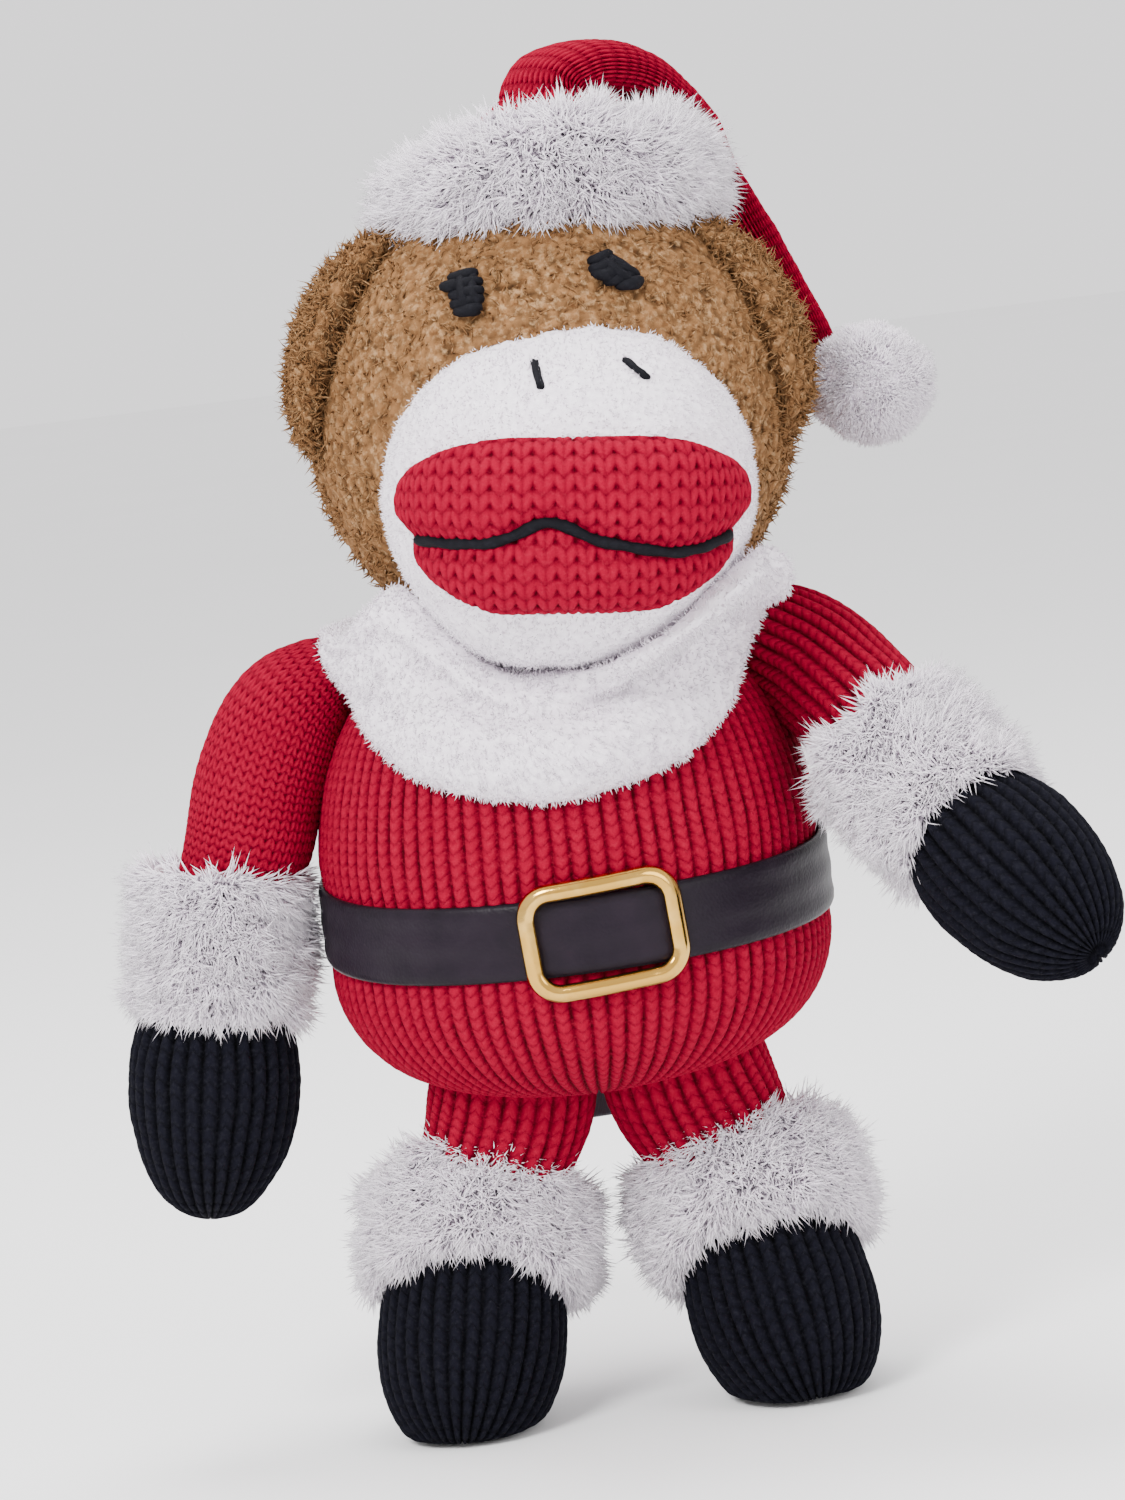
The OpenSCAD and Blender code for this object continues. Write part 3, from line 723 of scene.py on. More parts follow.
def care_label():
    """A blank satin ribbon folded double, sewn into the seat and hanging behind the legs."""
    top, y = 67.6, 25.2
    down = np.linspace(top, top - LABEL_DROP, 40)
    turn = np.radians(np.linspace(0, 180, 16))[1:-1]
    near, far = np.full(40, y - LABEL_FOLD), np.full(40, y + LABEL_FOLD)
    ys = np.concatenate([near, y - LABEL_FOLD * np.cos(turn), far])
    zs = np.concatenate([down, top - LABEL_DROP - LABEL_FOLD * np.sin(turn), down[::-1]])
    path = np.stack([0 * ys, ys, zs], -1)
    ones = np.ones(len(path))
    p = swept(path, ones * LABEL_W / 2, ones * LABEL_T / 2, 64, np.array([0.0, 0.9, 0.45]), 6)
    hang = (top - p[..., 2]) / LABEL_DROP
    p[..., 1] += 1.1 * hang**2 + 0.35 * hang * np.sin(p[..., 0] * 0.55)
    soup = Soup()
    grid(soup, p, np.zeros(p.shape[:2]))
    obj = soup.make("care_label_satin", SATIN)
    place(obj, "torso", ["care_label"])


# ---- Collar -------------------------------------------------------------------------------


def fleece(soup, p, size, height, seed):
    """Adds a grid as brushed fleece: small curls all over it."""
    n = outward(p)
    curl = cells(p, size, seed)
    soft = 0.5 * noise(p, 13, seed + 3) + 0.3 * noise(p, 4, seed + 4)
    q = p + n * (height * (0.5 - curl) + soft)[..., None]
    # Painted shade fills the hollows of the curls.
    grid(soup, q, np.clip(curl * 0.7 - 0.1, 0, 1))
    return q, n


def nap(soup, p, n, count, seed, length, width, lean=(0, 0, -0.25), keep=None):
    """Adds short fuzz to a fleece or fur surface."""
    rng = np.random.default_rng(seed)
    roots, out = scatter(p, n, count, rng, keep=keep)
    way = out + 0.6 * noise3(roots, 2.5, seed) + rng.normal(0, 0.35, out.shape) + np.array(lean)
    long = length * rng.uniform(0.6, 1.2, count)
    tufts(soup, roots - 0.2 * out, way, long, width, 0.5, rng, root_deep=0.45)


def around(phi, front, side, back, power=1.0):
    """A value that goes from front through side to back as the angle from the front grows."""
    c = np.cos(phi)
    return side + np.where(c > 0, front - side, back - side) * np.abs(c) ** power


def inside_head(p, grow):
    """Whether points are inside the head or the muzzle, made larger by grow."""
    ball = np.linalg.norm(p - HEAD_AT, axis=-1) < HEAD_R + grow
    x, y, z = p[..., 0], p[..., 1], p[..., 2]
    face = muzzle_front(x, z, grow)
    return ball | ((face < MUZZLE_AT[1]) & (y > face) & (y < MUZZLE_AT[1] + 12))


def collar_bore(phi, z):
    """Radius of the collar's inner face: round the neck, and clear of the head and the chin."""
    reach = np.linspace(20, 76, 225)
    spoke = np.stack([np.sin(phi), -np.cos(phi), 0 * phi], -1)
    p = spoke[:, None] * reach[None, :, None] + np.stack([0 * z, 0 * z, z], -1)[:, None]
    hit = inside_head(p, 0.6)
    return np.where(hit.any(1), reach[hit.shape[1] - 1 - np.argmax(hit[:, ::-1], 1)], 0)


def collar():
    """A fleece cowl: it lies on the chest, has a fold under the chin and hugs the head at the sides."""
    cols = 520
    phi = TURN * np.arange(cols) / cols
    turned = np.degrees(np.abs(np.where(phi > math.pi, phi - TURN, phi)))
    low = around(phi, 127.0, 155.5, 149.5, 1.25)
    rim = 151.5 + 19.5 * smooth(turned, 8, 48) - 9.5 * smooth(turned, 44, 68)
    swell = around(phi, 9.5, 8.5, 7.5)
    reach = 14
    near = (np.arange(cols)[:, None] + np.arange(-reach, reach + 1)) % cols

    def eased(r):
        """Takes the corners off a radius that runs all the way round."""
        return r[near].mean(1)

    def bore(z):
        """The clear radius, made smooth without ever getting smaller."""
        nod_room = 3.2 * smooth(turned, 100, 160)
        clear = np.maximum(collar_bore(phi, z) + 0.5 + nod_room, 35.0)
        return eased(clear[near].max(1))

    rows = []
    for s in np.linspace(0, 1, 26):
        z = 149.0 + (rim - 149.0) * s
        r = bore(z) * s**0.35 + 24 * (1 - s**0.35)
        floor = DISH_AT[2] - np.sqrt(np.maximum(0, 53.2**2 - (r * np.sin(phi) - DISH_AT[0]) ** 2
                                                - (r * np.cos(phi) + DISH_AT[1]) ** 2))
        torso_top = BELLY_Z + TORSO_UP * np.clip(1 - (r / BELLY_R) ** 3, 0, 1) ** (1 / 3) + 1.0
        lining = np.minimum(np.minimum(floor, torso_top), rim)
        z = z + (np.maximum(z, lining) - z) * (1 - smooth(s, 0.12, 0.5))
        rows.append((r, z))
    for s in np.linspace(0, 1, 84)[1:]:
        z = rim + (low + 1.5 - rim) * s
        chest = torso_radius(np.minimum(z, 149.0))
        inner = np.maximum(bore(np.maximum(z, 149.5)), chest)
        inner = np.where(z > 149.5, inner, chest + (inner - chest) * smooth(z, 138, 149.5))
        lip = math.sqrt(max(0.0, 1 - (1 - min(1, s / 0.2)) ** 2))
        roll = 0.62 + 0.42 * math.sin(math.pi * min(1.0, 0.18 + 0.78 * s)) ** 1.5
        tuck = math.sqrt(max(0.0, 1 - max(0.0, (s - 0.8) / 0.2) ** 2))
        fold = around(phi, 1.0, 0.5, 0.2) * 2.6 * math.exp(-(((s - 0.3) / 0.09) ** 2))
        r = inner + (swell * roll - fold) * lip * (0.12 + 0.88 * tuck)
        rows.append((eased(r), z - 1.2 * (1 - tuck)))
    rows.append((torso_radius(low + 3) + 0.3, low + 3))
    p = np.array([np.stack([r * np.sin(phi), -r * np.cos(phi), z], -1) for r, z in rows])
    soup = Soup()
    q, n = fleece(soup, p, 1.7, 0.5, 20)
    nap(soup, q[22:], n[22:], 16000, 21, 1.6, 0.2)
    obj = soup.make("collar_fleece", FLEECE)
    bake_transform(obj)
    finish_piece(["collar"])


# ---- Head ---------------------------------------------------------------------------------


def boucle(name, p, seed, loops, shade=0.0):
    """Curly looped yarn: lumps with small curls standing out of them."""
    n = outward(p)
    lump = cells(p, 1.8, seed)
    soft = 0.35 * noise(p, 11, seed + 3)
    q = p + n * (0.7 * (0.55 - lump) + soft + 0.15 * noise(p, 0.8, seed + 6))[..., None]
    soup = Soup()
    # Painted shade fills the dips between the lumps; the shade argument adds further painted shade.
    grid(soup, q, np.clip(lump * 1.3 - 0.35, 0, 1) + shade)
    rng = np.random.default_rng(seed)
    roots, out = scatter(q, n, loops, rng)
    way = out * 0.8 + rng.normal(0, 0.6, out.shape)
    long = rng.uniform(1.2, 2.6, loops)
    tufts(soup, roots - 0.2 * out, way, long, 0.34, 1.4, rng, root_deep=0.55, rings=3)
    return soup.make(name, BOUCLE)


def ball(at, radius, rows, cols):
    a = np.radians(np.linspace(-89, 89, rows))[:, None]
    phi = (TURN * np.arange(cols) / cols)[None]
    p = np.stack([np.cos(a) * np.sin(phi), -np.cos(a) * np.cos(phi), np.sin(a) * np.ones_like(phi)], -1)
    return at + p * radius


def head():
    p = ball(HEAD_AT, HEAD_R, 260, 520)
    obj = boucle("head_boucle", p, 40, 9000)
    place(obj, "head", ["head_cover"])


def muzzle_point(t, th, grow=0.0):
    """A point of the muzzle: t goes from its front out to its edge, th goes round."""
    r = MUZZLE_R + grow
    x = r * np.sin(t) * np.cos(th)
    z = r * np.sin(t) * np.sin(th)
    z = np.where(z > 0, MUZZLE_TALL * z, z)
    side = MUZZLE_SIDE * np.tanh(3 * np.sin(t) * np.cos(th))
    chin = CHIN_DROP * smooth(-z / r, 0.45, 1.0)
    return np.stack([MUZZLE_AT[0] + x + side, MUZZLE_AT[1] - (MUZZLE_DEPTH + grow) * np.cos(t),
                     MUZZLE_AT[2] + z - chin], -1)


def muzzle_front(x, z, grow=0.0):
    """How far forward the muzzle reaches at a place across and up."""
    r = MUZZLE_R + grow
    dx = np.abs(x - MUZZLE_AT[0])
    u = np.maximum(0, dx - MUZZLE_SIDE * np.tanh(3 * dx / (r + MUZZLE_SIDE))) / r
    v = (z - MUZZLE_AT[2]) / (r * np.where(z > MUZZLE_AT[2], MUZZLE_TALL, 1.0))
    return MUZZLE_AT[1] - (MUZZLE_DEPTH + grow) * np.sqrt(np.clip(1 - u * u - v * v, 0, 1))


def muzzle():
    t = np.radians(np.linspace(2, 112, 190))[:, None]
    th = (TURN * np.arange(400) / 400)[None] * np.ones_like(t)
    p = muzzle_point(np.minimum(t, math.pi / 2) * np.ones_like(th), th)
    p[..., 1] += np.maximum(0, t - math.pi / 2) * 26
    soup = Soup()
    q, n = fleece(soup, p, 1.4, 0.35, 60)
    nap(soup, q, n, 13000, 61, 1.1, 0.2, lean=(0, 0, -0.1), keep=lambda m: m[..., 1] < -18)
    place(soup.make("muzzle_fleece", FLEECE), "head", ["muzzle_cover"])


def lip_rise(s):
    """Height of the mouth's yarn above the mouth's middle: a low peak, and a dip on the toy's left."""
    return -2.3 + 3.6 * np.exp(-(((s + 4.6) / 6.5) ** 2)) - 2.2 * np.exp(-(((s - 18.5) / 9) ** 2))


def leaned(s, rise):
    """Place on the face of a point of the mouth, given before the mouth leans."""
    c, k = math.cos(MOUTH_LEAN), math.sin(MOUTH_LEAN)
    return MUZZLE_AT[0] + s * c + rise * k, MOUTH_Z - s * k + rise * c


def mouth_half_width(rise):
    """Half width of the mouth: a wide upper lip over a rounder lower one."""
    upper = 33.5 * np.clip(1 - np.abs((rise - 3.5) / 12.6) ** 2.5, 0, 1) ** 0.4
    lower = 30.5 * np.clip(1 - np.abs((rise + 2.5) / 13.7) ** 2.1, 0, 1) ** 0.48
    t = smooth(rise, -2.5, 3.5)
    return np.where(rise > 3.5, upper, np.where(rise < -2.5, lower, 30.5 + 3.0 * t))


def mouth_puff(s, rise):
    """How far the mouth stands out of the muzzle: two lips with a crease between them."""
    wide = np.maximum(mouth_half_width(rise), 1e-3)
    ends = np.clip(1 - np.abs(s / wide) ** 4, 0, 1) ** 0.5
    rims = np.clip(1 - np.where(rise > 0, rise / 16.1, rise / -16.2) ** 4, 0, 1) ** 0.5
    crease = np.exp(-(((rise - lip_rise(s)) / 2.4) ** 2))
    return 6.2 * np.minimum(ends, rims) * (1 - 0.4 * crease) - 1.0, crease


def on_muzzle(x, z, out):
    """Points that far out of the muzzle, along its own normal."""
    step = 0.3
    slope_x = (muzzle_front(x + step, z) - muzzle_front(x - step, z)) / (2 * step)
    slope_z = (muzzle_front(x, z + step) - muzzle_front(x, z - step)) / (2 * step)
    n = unit(np.stack([slope_x, -np.ones_like(x), slope_z], -1))
    return np.stack([x, muzzle_front(x, z), z], -1) + n * np.asarray(out)[..., None]


def mouth():
    rows, cols = 170, 300
    rise = np.linspace(-16.1, 16.0, rows)[:, None] * np.ones((1, cols))
    s = np.sin(np.linspace(-1, 1, cols) * math.pi / 2)[None] * np.maximum(mouth_half_width(rise), 2.0)
    puff, crease = mouth_puff(s, rise)
    across, up = leaned(s, rise)
    p = on_muzzle(across, up, puff)
    n = outward(p, closed=False)
    n = n if n[rows // 2, cols // 2, 1] < 0 else -n
    flat = on_muzzle(across, up, 0 * across)
    run = np.cumsum(np.linalg.norm(np.diff(flat, axis=1, prepend=flat[:, :1]), axis=-1), 1)
    u, v = (run - run[:, cols // 2, None]) / 3.55 + 0.06 * noise(p, 8, 71), rise / 2.8
    h = stockinette(u, v)
    loose = np.clip((puff + 1.0) / 2, 0, 1)
    q = p + n * ((0.75 * (h - 0.6) + 0.25 * noise(p, 12, 70)) * loose)[..., None]
    soup = Soup()
    # Painted shade between the stitches and in the crease between the lips.
    grid(soup, q, 1.1 * (1 - h) + 0.3 * crease - 0.1, np.stack([u, v], -1), closed=False, caps=(False, False))
    back = on_muzzle(across, up, 0 * across - 2.4)

    def rim(f):
        return np.concatenate([f[0], f[:, -1][1:], f[-1][::-1][1:], f[:, 0][::-1][1:-1]])

    ring = np.stack([rim(q), rim(back)])
    # The patch's side wall is all painted shade.
    grid(soup, ring, np.ones(ring.shape[:2]), caps=(False, True))
    obj = soup.make("mouth_knit", RED_PLAIN)
    weld(obj)
    place(obj, "head", ["mouth_patch"])

    s = np.linspace(-1, 1, 120) * MOUTH_REACH
    rise = lip_rise(s)
    x, z = leaned(s, rise)
    soup = Soup()
    strand(soup, on_muzzle(x, z, mouth_puff(s, rise)[0] + 0.35), 1.1, 10, 0.12)
    place(soup.make("mouth_line_yarn", THREAD), "head", ["mouth_yarn"])


def eyes_and_nostrils():
    """Embroidery: a knot of thick stitches for each eye, and one short stitch for each nostril."""
    shapes = {
        RIGHT: (-13.6, 26.0, [((-2.4, 3.0), (2.2, 3.3)), ((-3.0, 1.4), (3.0, 1.7)),
                              ((-2.7, -0.2), (3.0, 0.0)), ((-2.6, -1.9), (2.8, -1.6)),
                              ((-2.0, -3.3), (2.2, -3.3)), ((-0.8, 3.9), (-0.5, -3.9)),
                              ((1.3, 3.5), (1.3, -3.6)), ((-4.0, 1.6), (-1.0, 1.5))]),
        LEFT: (14.3, 26.6, [((-3.6, 2.4), (0.0, 3.0)), ((-3.7, 0.9), (1.2, 1.4)),
                            ((-2.8, -0.4), (2.4, 0.0)), ((-1.4, -1.7), (4.0, -1.4)),
                            ((1.0, -2.8), (5.2, -2.6)), ((-2.6, 3.0), (3.9, -3.0)),
                            ((-0.6, 2.8), (4.6, -1.6)), ((-3.2, 0.4), (1.0, -1.6))]),
    }
    for side, (x0, z0, stitches) in shapes.items():
        soup = Soup()
        for k, (a, b) in enumerate(stitches):
            t = np.linspace(0, 1, 16)[:, None]
            xz = np.array(a) * (1 - t) + np.array(b) * t
            x, z = x0 + xz[:, 0], z0 + xz[:, 1]
            rise = 0.5 + 2.3 * np.sin(math.pi * t[:, 0]) ** 0.6 + 0.2 * (k % 3)
            y = -np.sqrt(HEAD_R**2 - x**2 - z**2) - rise
            strand(soup, HEAD_AT + np.stack([x, y, z], -1), 1.2, 9, 0.15)
        name = SIDE_NAME[side]
        place(soup.make(f"{name}_eye_stitches", THREAD), "head", [f"{name}_eye"])
    nostrils = (RIGHT, (4.4, 211.4), (5.0, 206.0)), (LEFT, (21.2, 209.6), (25.2, 205.4))
    for side, (x0, z0), (x1, z1) in nostrils:
        t = np.linspace(0, 1, 16)
        x, z = x0 + (x1 - x0) * t, z0 + (z1 - z0) * t
        y = muzzle_front(x, z) - 0.2 - 0.7 * np.sin(math.pi * t)
        soup = Soup()
        strand(soup, np.stack([x, y, z], -1), 0.62, 8, 0.15)
        strand(soup, np.stack([x + 0.5, y + 0.1, z - 0.1], -1), 0.5, 8, 0.15)
        name = SIDE_NAME[side]
        place(soup.make(f"{name}_nostril_stitch", THREAD), "head", [f"{name}_nostril"])


def ears():
    """Each ear is a lobe sewn along the side of the head and folded forward, with a hollow inside darkened by
    painted shade.
    """
    for side in (RIGHT, LEFT):
        rows, cols = 150, 260
        a = np.radians(np.linspace(-88, 88, rows))[:, None]
        phi = (TURN * np.arange(cols) / cols)[None]
        angle = math.radians(EAR_ANGLE[side])
        out = np.array([side * math.sin(angle), 0, math.cos(angle)])
        up = np.array([-side * math.cos(angle), 0, math.sin(angle)])
        ahead = np.array([0, -1.0, 0])
        full = np.cos(a) ** 0.8
        hollow = smooth(np.cos(phi + math.radians(28)), 0.4, 0.97) * smooth(np.cos(a), 0.12, 0.65)
        k = (1 - 0.75 * hollow) * full
        along_head = 23.5 * np.sin(a) * np.ones_like(phi)
        wrap = 0.006 * along_head**2
        p = HEAD_AT + (EAR_OUT[side] - wrap + k * np.sin(phi) * 11.0)[..., None] * out
        p = p + along_head[..., None] * up + (EAR_FORWARD + k * np.cos(phi) * 12.5)[..., None] * ahead
        name = SIDE_NAME[side]
        # shade=1.1 * hollow paints the inside of the hollow dark.
        obj = boucle(f"{name}_ear_boucle", p, 80 + side, 4200, shade=1.1 * hollow)
        place(obj, f"{name}_ear", [f"{name}_ear"])


# ---- Hat ----------------------------------------------------------------------------------


def fur(soup, p, n, count, length, width, comb, seed, keep=None, bend=0.5, size=5.0):
    """Adds long pile in locks, combed one way."""
    rng = np.random.default_rng(seed)
    roots, out = scatter(p, n, count, rng, keep=keep)
    flow = comb(roots, out)
    way = 0.7 * out + flow + 0.6 * noise3(roots, size, seed) + rng.normal(0, 0.22, out.shape)
    lock = 0.8 + 0.35 * noise(roots, 2.6, seed + 9)
    long = length * lock * rng.uniform(0.7, 1.15, count)
    tufts(soup, roots - 0.4 * out, way, long, width, bend, rng, root_deep=0.6)


def brim():
    cols, rows = 200, 90
    a = TURN * np.arange(cols) / cols
    b = TURN * np.arange(rows + 1) / rows
    ring = np.stack([np.sin(a), -np.cos(a), 0 * a], -1)[None]
    r, tall = 9.3, 11.2
    sag = (0.6 - 4.8 * np.sin(a) ** 2 + 1.2 * np.sin(a))[None, :, None] * np.array([0, 0, 1])
    middle = BRIM_AT + ring * (BRIM_R + 2.0 * np.sin(a) ** 2)[None, :, None] + sag
    p = middle + ring * r * np.cos(b)[:, None, None] + np.array([0, 0, 1]) * (tall * np.sin(b))[:, None, None]
    n = unit(p - middle)
    q = p + n * (0.9 * noise(p, 9, 100) + 0.5 * noise(p, 4, 101))[..., None]
    q[-1] = q[0]
    soup = Soup()
    # The core under the pile is painted half in shade.
    grid(soup, q, np.full(q.shape[:2], 0.55), caps=(False, False))

    def comb(roots, out):
        away = unit((roots - BRIM_AT) * np.array([1, 1, 0]))
        return 0.35 * away + np.array([0, 0, -0.45])

    def shown(m):
        """The part that shows outside the head and the crown."""
        return (np.linalg.norm(m - HEAD_AT, axis=-1) > HEAD_R - 1) & (
            np.linalg.norm((m - BRIM_AT)[..., :2], axis=-1) > 15)

    fur(soup, q, n, 24000, 7.6, 0.36, comb, 102, keep=shown)
    obj = soup.make("hat_brim_fur", FUR)
    weld(obj)
    place(obj, "head", ["hat_brim"])


def pompom():
    p = ball(POMPOM_AT, POMPOM_R - 2.4, 70, 140)
    n = unit(p - POMPOM_AT)
    q = p + n * (0.5 * noise(p, 5, 110))[..., None]
    soup = Soup()
    # The core under the pile is painted half in shade.
    grid(soup, q, np.full(q.shape[:2], 0.5))
    fur(soup, q, n, 15000, 3.3, 0.26, lambda roots, out: 0.05 * out, 111, bend=0.4, size=2.5)
    place(soup.make("hat_pompom_fur", FUR), "hat_tail", ["hat_pompom"])


def hat_crown():
    """The knitted crown fills the brim and leans over towards the fold."""
    outer = [(19.5, 244), (19, 249), (15.5, 255), (10.5, 260.5), (6.5, 264), (1.5, 266)]
    profile = spline([(r, z, 0) for r, z in outer], 90)
    r, z = profile[:, 0, None], profile[:, 1, None]
    phi = (TURN * np.arange(300) / 300)[None]
    lean = smooth(z, 246, 266)
    p = np.stack([11.5 + 5.5 * lean + r * np.sin(phi), -1 + 4 * lean - r * np.cos(phi), z + 0 * phi], -1)
    obj = knitted("hat_crown_knit", p, 40, 2.3, 0.8, RED, ribbing, seed=121, lumps=0.7)
    place(obj, "head", ["hat_crown"])


def hat_cone():
    """The cone leaves the crown, folds over and hangs beside the head."""
    line = [((12, -0.5, 258.5), 9, 6), ((13.5, 0.5, 262.3), 10, 5.6), ((16.5, 2.2, 264.6), 12, 5.0),
            ((21, 5, 265.2), 12.4, 4.8), ((27, 9.8, 263.4), 12, 4.6), ((33, 15, 258.6), 11.4, 4.4),
            ((38.5, 19, 251.5), 11, 4.4), ((42.6, 21.6, 242), 10.4, 4.4), ((48, 23, 231), 9.4, 4.4),
            ((53.6, 22.2, 220), 8, 4.2), ((58.2, 20, 210), 6, 3.8), ((61.6, 17, 203), 3.8, 3.2),
            ((64, 14.5, 199.5), 2.2, 2.2)]
    count = 230
    path = spline([p for p, _, _ in line], count)
    wide = spline([[w, t, 0] for _, w, t in line], count)
    path, (w, t, _) = evenly(path, wide, count)
    away = unit(path - HEAD_AT)
    rings = swept(path, w, t, 300, away, 2.6)
    obj = knitted("hat_cone_knit", rings, 44, 2.3, 0.95, RED, ribbing, seed=120, lumps=0.7)
    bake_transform(obj)
    finish_piece(["hat_tail"])


# ---- Arms ---------------------------------------------------------------------------------

SLEEVE = {
    RIGHT: ([(-39, -1, 153), (-45, -1.5, 151), (-52, -2, 145.5), (-58.5, -2, 134.5), (-62.8, -2, 122),
             (-67.5, -2, 111), (-70.8, -2.3, 103)], (6, 9.5, 12.2, 13, 12.6, 11.6, 10.5)),
    LEFT: ([(38, 0, 154), (44, -2, 150), (52, -7, 144), (59, -15, 136), (64, -23, 128.5), (67, -28, 123),
            (71, -32, 118)], (7, 11, 12.6, 12.8, 12.3, 11.0, 8.6)),
}


def along_axis(start, end, run, radius, count):
    """Rings of given radius at given distances from start towards end."""
    way = unit(end - start)
    path = start + np.asarray(run)[:, None] * way
    return swept(path, radius, radius, count, np.array([0.0, -1.0, 0.12]))


def outline(points, step):
    """Evenly spaced (run, radius) pairs along a smooth outline."""
    line = spline([(a, b, 0) for a, b in points], 400)
    run = along(line)
    even = np.linspace(0, run[-1], max(8, int(run[-1] / step)))
    return np.interp(even, run, line[:, 0]), np.maximum(np.interp(even, run, line[:, 1]), 0.25)


def bulb(radius, low, total, middle, fullness, start):
    """Outline of a mitten or boot past its edge, as (run, radius), with a round tip."""
    full = total * middle
    a = np.radians(np.arange(start, 86, 12.0))
    run = full + np.where(a < 0, full - low, total - full) * np.sin(a)
    return [*zip(run, radius * np.cos(a) ** fullness)] + [(total, 0.6)]


CUFF_PILE = 7.0


def cuff(name, start, end, bore, outer, low, high, count, seed, body, nodes, arch=0.0):
    """A fur cuff: a soft ring with long pile on its outside and its ends."""
    way = unit(end - start)
    across = unit(np.cross(way, np.array([0.0, 1.0, 0.0])))
    front = np.cross(across, way)
    cols, rows = 170, 64
    a = (TURN * np.arange(cols) / cols)[None]
    b = (TURN * np.arange(rows + 1) / rows)[:, None]
    core = outer - 4.6
    middle_r, half_r = (bore + core) / 2, (core - bore) / 2
    half_l = (high - low) / 2
    c, s = np.cos(b), np.sin(b)
    k = (np.abs(c) ** 3 + np.abs(s) ** 3) ** (-1 / 3)
    r = middle_r + half_r * c * k
    h = (low + high) / 2 + half_l * s * k - arch * np.cos(2 * a)
    spoke = across * np.sin(a)[..., None] + front * -np.cos(a)[..., None]
    p = start + spoke * r[..., None] + way * h[..., None]
    middle = start + spoke * middle_r + way * ((low + high) / 2)
    n = outward(p)
    hub = p - middle
    n = n if (hub * n).sum() > 0 else -n
    q = p + n * (0.8 * noise(p, 8, seed) + 0.4 * noise(p, 3.5, seed + 1))[..., None]
    q[-1] = q[0]
    soup = Soup()
    # The core under the pile is painted half in shade.
    grid(soup, q, np.full(q.shape[:2], 0.55), caps=(False, False))

    def comb(roots, out):
        away = roots - start
        away = away - (away @ way)[:, None] * way
        return 0.25 * unit(away) + 0.4 * way + np.array([0, 0, -0.12])

    def outside(m):
        away = m - start
        away = away - (away @ way)[..., None] * way
        return np.linalg.norm(away, axis=-1) > bore + 1.2

    fur(soup, q, n, count, CUFF_PILE, 0.32, comb, seed + 2, keep=outside)
    obj = soup.make(name, FUR)
    weld(obj)
    place(obj, body, nodes)


def arms():
    for side in (RIGHT, LEFT):
        name = SIDE_NAME[side]
        points, radii = SLEEVE[side]
        path, (r, _, _) = evenly(spline(points, 400), spline([(x, 0, 0) for x in radii], 400), 130)
        rings = swept(path, r, r, 288, np.array([0.0, -1.0, 0.25]))
        if side == RIGHT:
            obj = knitted(f"{name}_sleeve_knit", rings, 36, 2.0, 0.55, RED_PLAIN, stockinette, seed=130)
        else:
            obj = knitted(f"{name}_sleeve_knit", rings, 26, 2.3, 0.95, RED, ribbing, seed=131)
        place(obj, f"{name}_arm", [f"{name}_sleeve"])

        total = float(np.linalg.norm(FINGERTIP[side] - WRIST[side]))
        at, r = outline([(5, 13.6)] + bulb(16.5, 12, total, 0.55, 0.9, -60), 0.5)
        rings = along_axis(WRIST[side], FINGERTIP[side], at, r, 288)
        obj = knitted(f"{name}_mitten_knit", rings, 30, 2.9, 1.1, BLACK_KNIT, ribbing, 140 + side, 0.6)
        place(obj, f"{name}_hand", [f"{name}_mitten"])
        cuff(f"{name}_arm_cuff_fur", WRIST[side], FINGERTIP[side], 12.2, 19.4, -6.5, 20.5, 17000, 150 + side,
             f"{name}_hand", [f"{name}_arm_cuff"])


# ---- Legs ---------------------------------------------------------------------------------


def legs():
    for side in (RIGHT, LEFT):
        name = SIDE_NAME[side]
        mirror = np.array([side, 1, 1])
        points = [(16.3, -4, 75), (16.8, -4, 69), (18.5, -2, 62)]
        points += [(21.5, 1, 54), (24.5, 4.5, 46), (26.3, 6, 39)]
        wide, deep = (14.5, 16, 16.3, 15.2, 14.4, 12.6), (10, 13, 14.2, 14.4, 14.2, 12.4)
        size = spline([(a, b, 0) for a, b in zip(wide, deep)], 300)
        path, (w, d, _) = evenly(spline(points, 300) * mirror, size, 90)
        rings = swept(path, w, d, 300, np.array([0.0, -1.0, 0.0]), 2.3)
        obj = knitted(f"{name}_trouser_knit", rings, 30, 2.3, 0.95, RED, ribbing, seed=160 + side)
        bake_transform(obj)
        finish_piece([f"{name}_trouser_leg"])

        ankle = ANKLE * mirror
        way = unit(np.array([side * math.tan(BOOT_SPLAY), -math.tan(BOOT_LEAN), -1.0]))
        toe = ankle + BOOT_L * way
        at, r = outline([(5.5, 15.6)] + bulb(BOOT_R, 0, BOOT_L, 0.56, 0.8, -36), 0.5)
        rings = along_axis(ankle, toe, at, r, 288)
        z = rings[..., 2]
        rings[..., 2] = np.where(z < 2.4, 0.3 + 2.1 * np.exp((np.minimum(z, 2.4) - 2.4) / 2.1), z)
        obj = knitted(f"{name}_boot_knit", rings, 34, 2.8, 1.1, BLACK_KNIT, ribbing, 170 + side, 0.5)
        lift_to_floor(obj)
        place(obj, f"{name}_foot", [f"{name}_boot"])
        cuff(f"{name}_leg_cuff_fur", ankle, toe, 15.4, 26.0, -5.5, 14.5, 20000, 180 + side, f"{name}_foot",
             [f"{name}_leg_cuff"], arch=2.0)


def lift_to_floor(obj):
    """Presses anything under the floor up onto it."""
    co = np.zeros(len(obj.data.vertices) * 3, np.float32)
    obj.data.vertices.foreach_get("co", co)
    co = co.reshape(-1, 3)
    co[:, 2] = np.maximum(co[:, 2], 0.0)
    obj.data.vertices.foreach_set("co", co.ravel())
    obj.data.update()


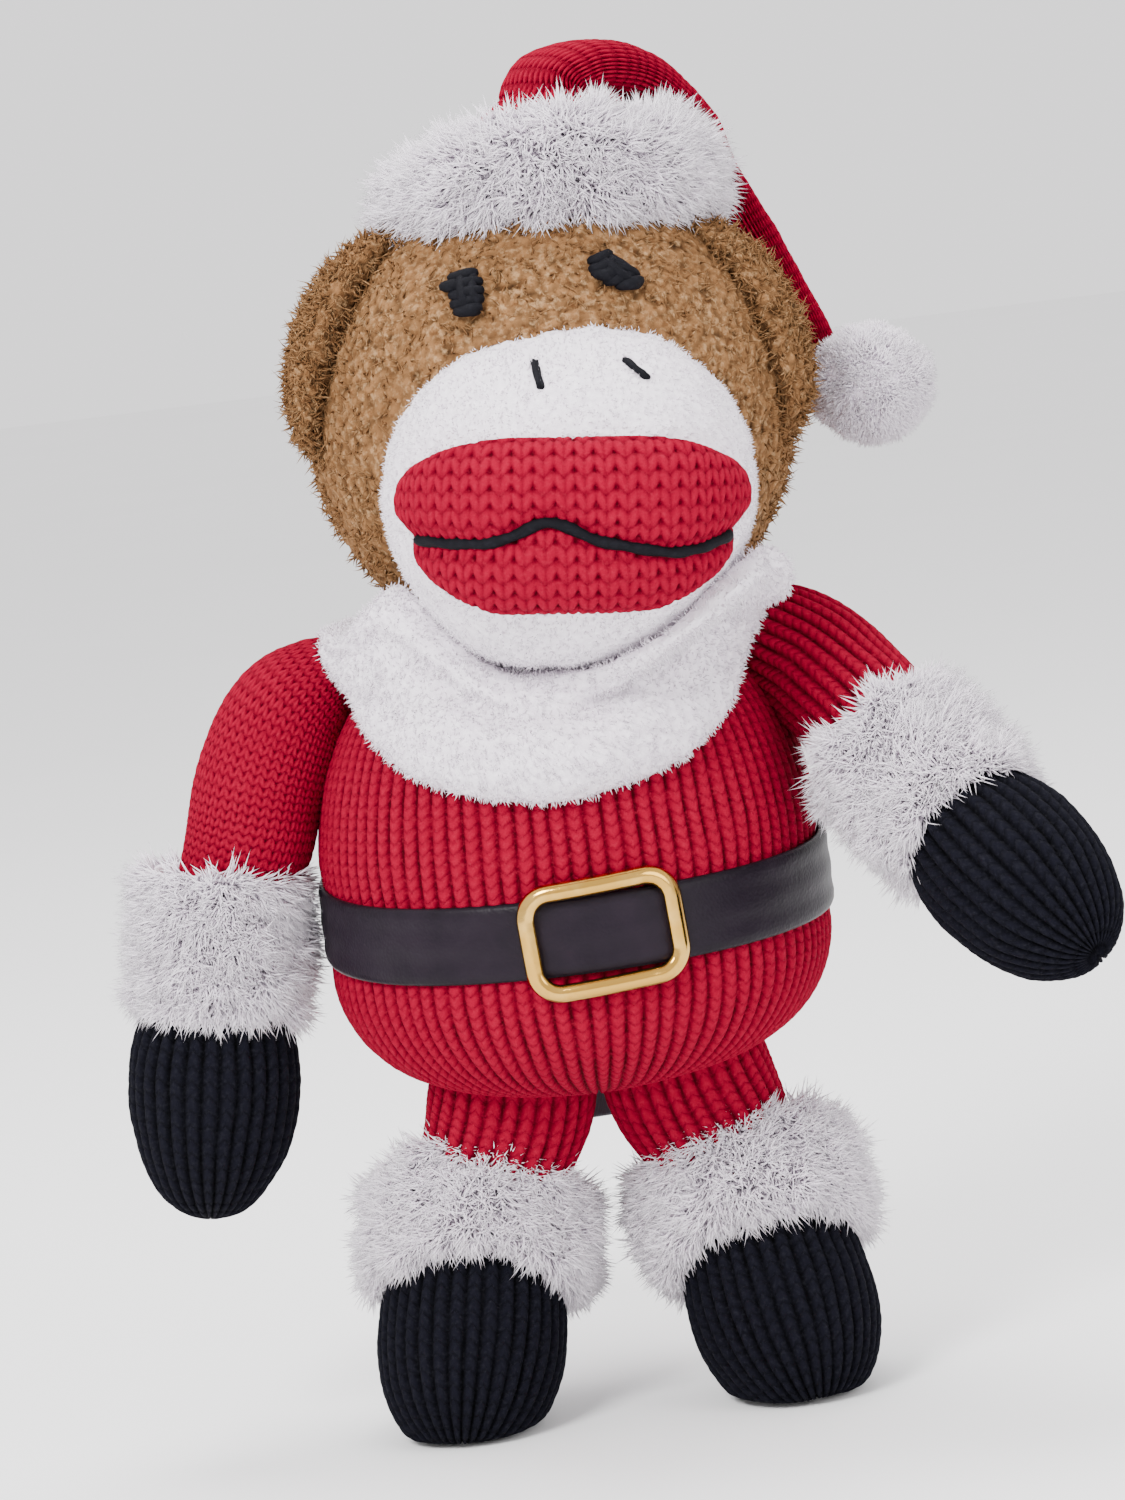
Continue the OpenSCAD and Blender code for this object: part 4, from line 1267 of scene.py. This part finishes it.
# ---- Build --------------------------------------------------------------------------------

torso()
belt()
buckle()
care_label()
collar()
head()
muzzle()
mouth()
eyes_and_nostrils()
ears()
brim()
pompom()
hat_crown()
hat_cone()
arms()
legs()

FILLED = ("shoulder_wad", "sleeve_filling", "mitten_filling", "leg_filling")
INNER = {
    "torso_filling": FIBRE, "seat_pellet_bag": PELLETS, "neck_wad": FIBRE, "head_filling": FIBRE,
    "muzzle_filling": FIBRE,
    **{f"{name}_{part}": FIBRE for name in SIDE_NAME.values() for part in FILLED},
    **{f"{name}_boot_pellets": PELLETS for name in SIDE_NAME.values()},
}
for node, material in INNER.items():
    obj = bpy.data.objects[node]
    obj.data.materials.clear()
    obj.data.materials.append(material)

# ---- Floor, light and camera --------------------------------------------------------------


def floor():
    me = bpy.data.meshes.new("floor")
    half, under = 6.0, -0.0006
    corners = [(x * half, y * half, under) for x, y in ((-1, -1), (1, -1), (1, 1), (-1, 1))]
    me.from_pydata(corners, [], [(0, 1, 2, 3)])
    obj = bpy.data.objects.new("floor", me)
    bpy.context.scene.collection.objects.link(obj)
    look = Look("floor_paper", (0.93,) * 3, (0.93,) * 3, rough=0.9, sheen=0.0, specular=0.1)
    look.blotch(300.0, (0.9, 0.9, 0.9), 0.4, 0.7, 0.4)
    me.materials.append(look.done())


def area_light(name, at, towards, size, watts):
    data = bpy.data.lights.new(name, "AREA")
    data.shape, data.size, data.energy = "DISK", size, watts
    obj = bpy.data.objects.new(name, data)
    obj.location = at
    obj.rotation_euler = (Vector(towards) - Vector(at)).to_track_quat("-Z", "Y").to_euler()
    bpy.context.scene.collection.objects.link(obj)


def stage():
    floor()
    world = bpy.data.worlds.new("studio")
    bpy.context.scene.world = world
    world.use_nodes = True
    background = world.node_tree.nodes["Background"]
    background.inputs[0].default_value = (1.0, 0.985, 1.0, 1)
    background.inputs[1].default_value = 1.5
    middle = (0.0, 0.0, 0.14)
    area_light("key", (-0.55, -0.95, 0.95), middle, 0.5, 24)
    area_light("fill", (0.9, -0.8, 0.5), middle, 0.7, 6)
    area_light("top", (0.0, 0.2, 1.2), middle, 0.7, 14)


def camera():
    """A long lens a little above the toy, rolled so that the toy leans as it does in the reference."""
    data = bpy.data.cameras.new("camera")
    data.sensor_width, data.lens = 36.0, 133.0
    cam = bpy.data.objects.new("camera", data)
    bpy.context.scene.collection.objects.link(cam)
    target = metres([1.0, 0.0, 132.0])
    azimuth, elevation, roll, distance = math.radians(0), math.radians(6), math.radians(7), 1.1
    back = np.array([math.sin(azimuth) * math.cos(elevation), -math.cos(azimuth) * math.cos(elevation),
                     math.sin(elevation)])
    right = unit(np.cross(-back, np.array([0, 0, 1.0])))
    up = np.cross(right, -back)
    right, up = (right * math.cos(roll) - up * math.sin(roll), right * math.sin(roll) + up * math.cos(roll))
    rows = np.column_stack([right, up, back, target + back * distance])
    cam.matrix_world = Matrix([[*row] for row in rows] + [[0, 0, 0, 1]])
    data.clip_start, data.clip_end = 0.05, 50
    bpy.context.scene.camera = cam


stage()
camera()
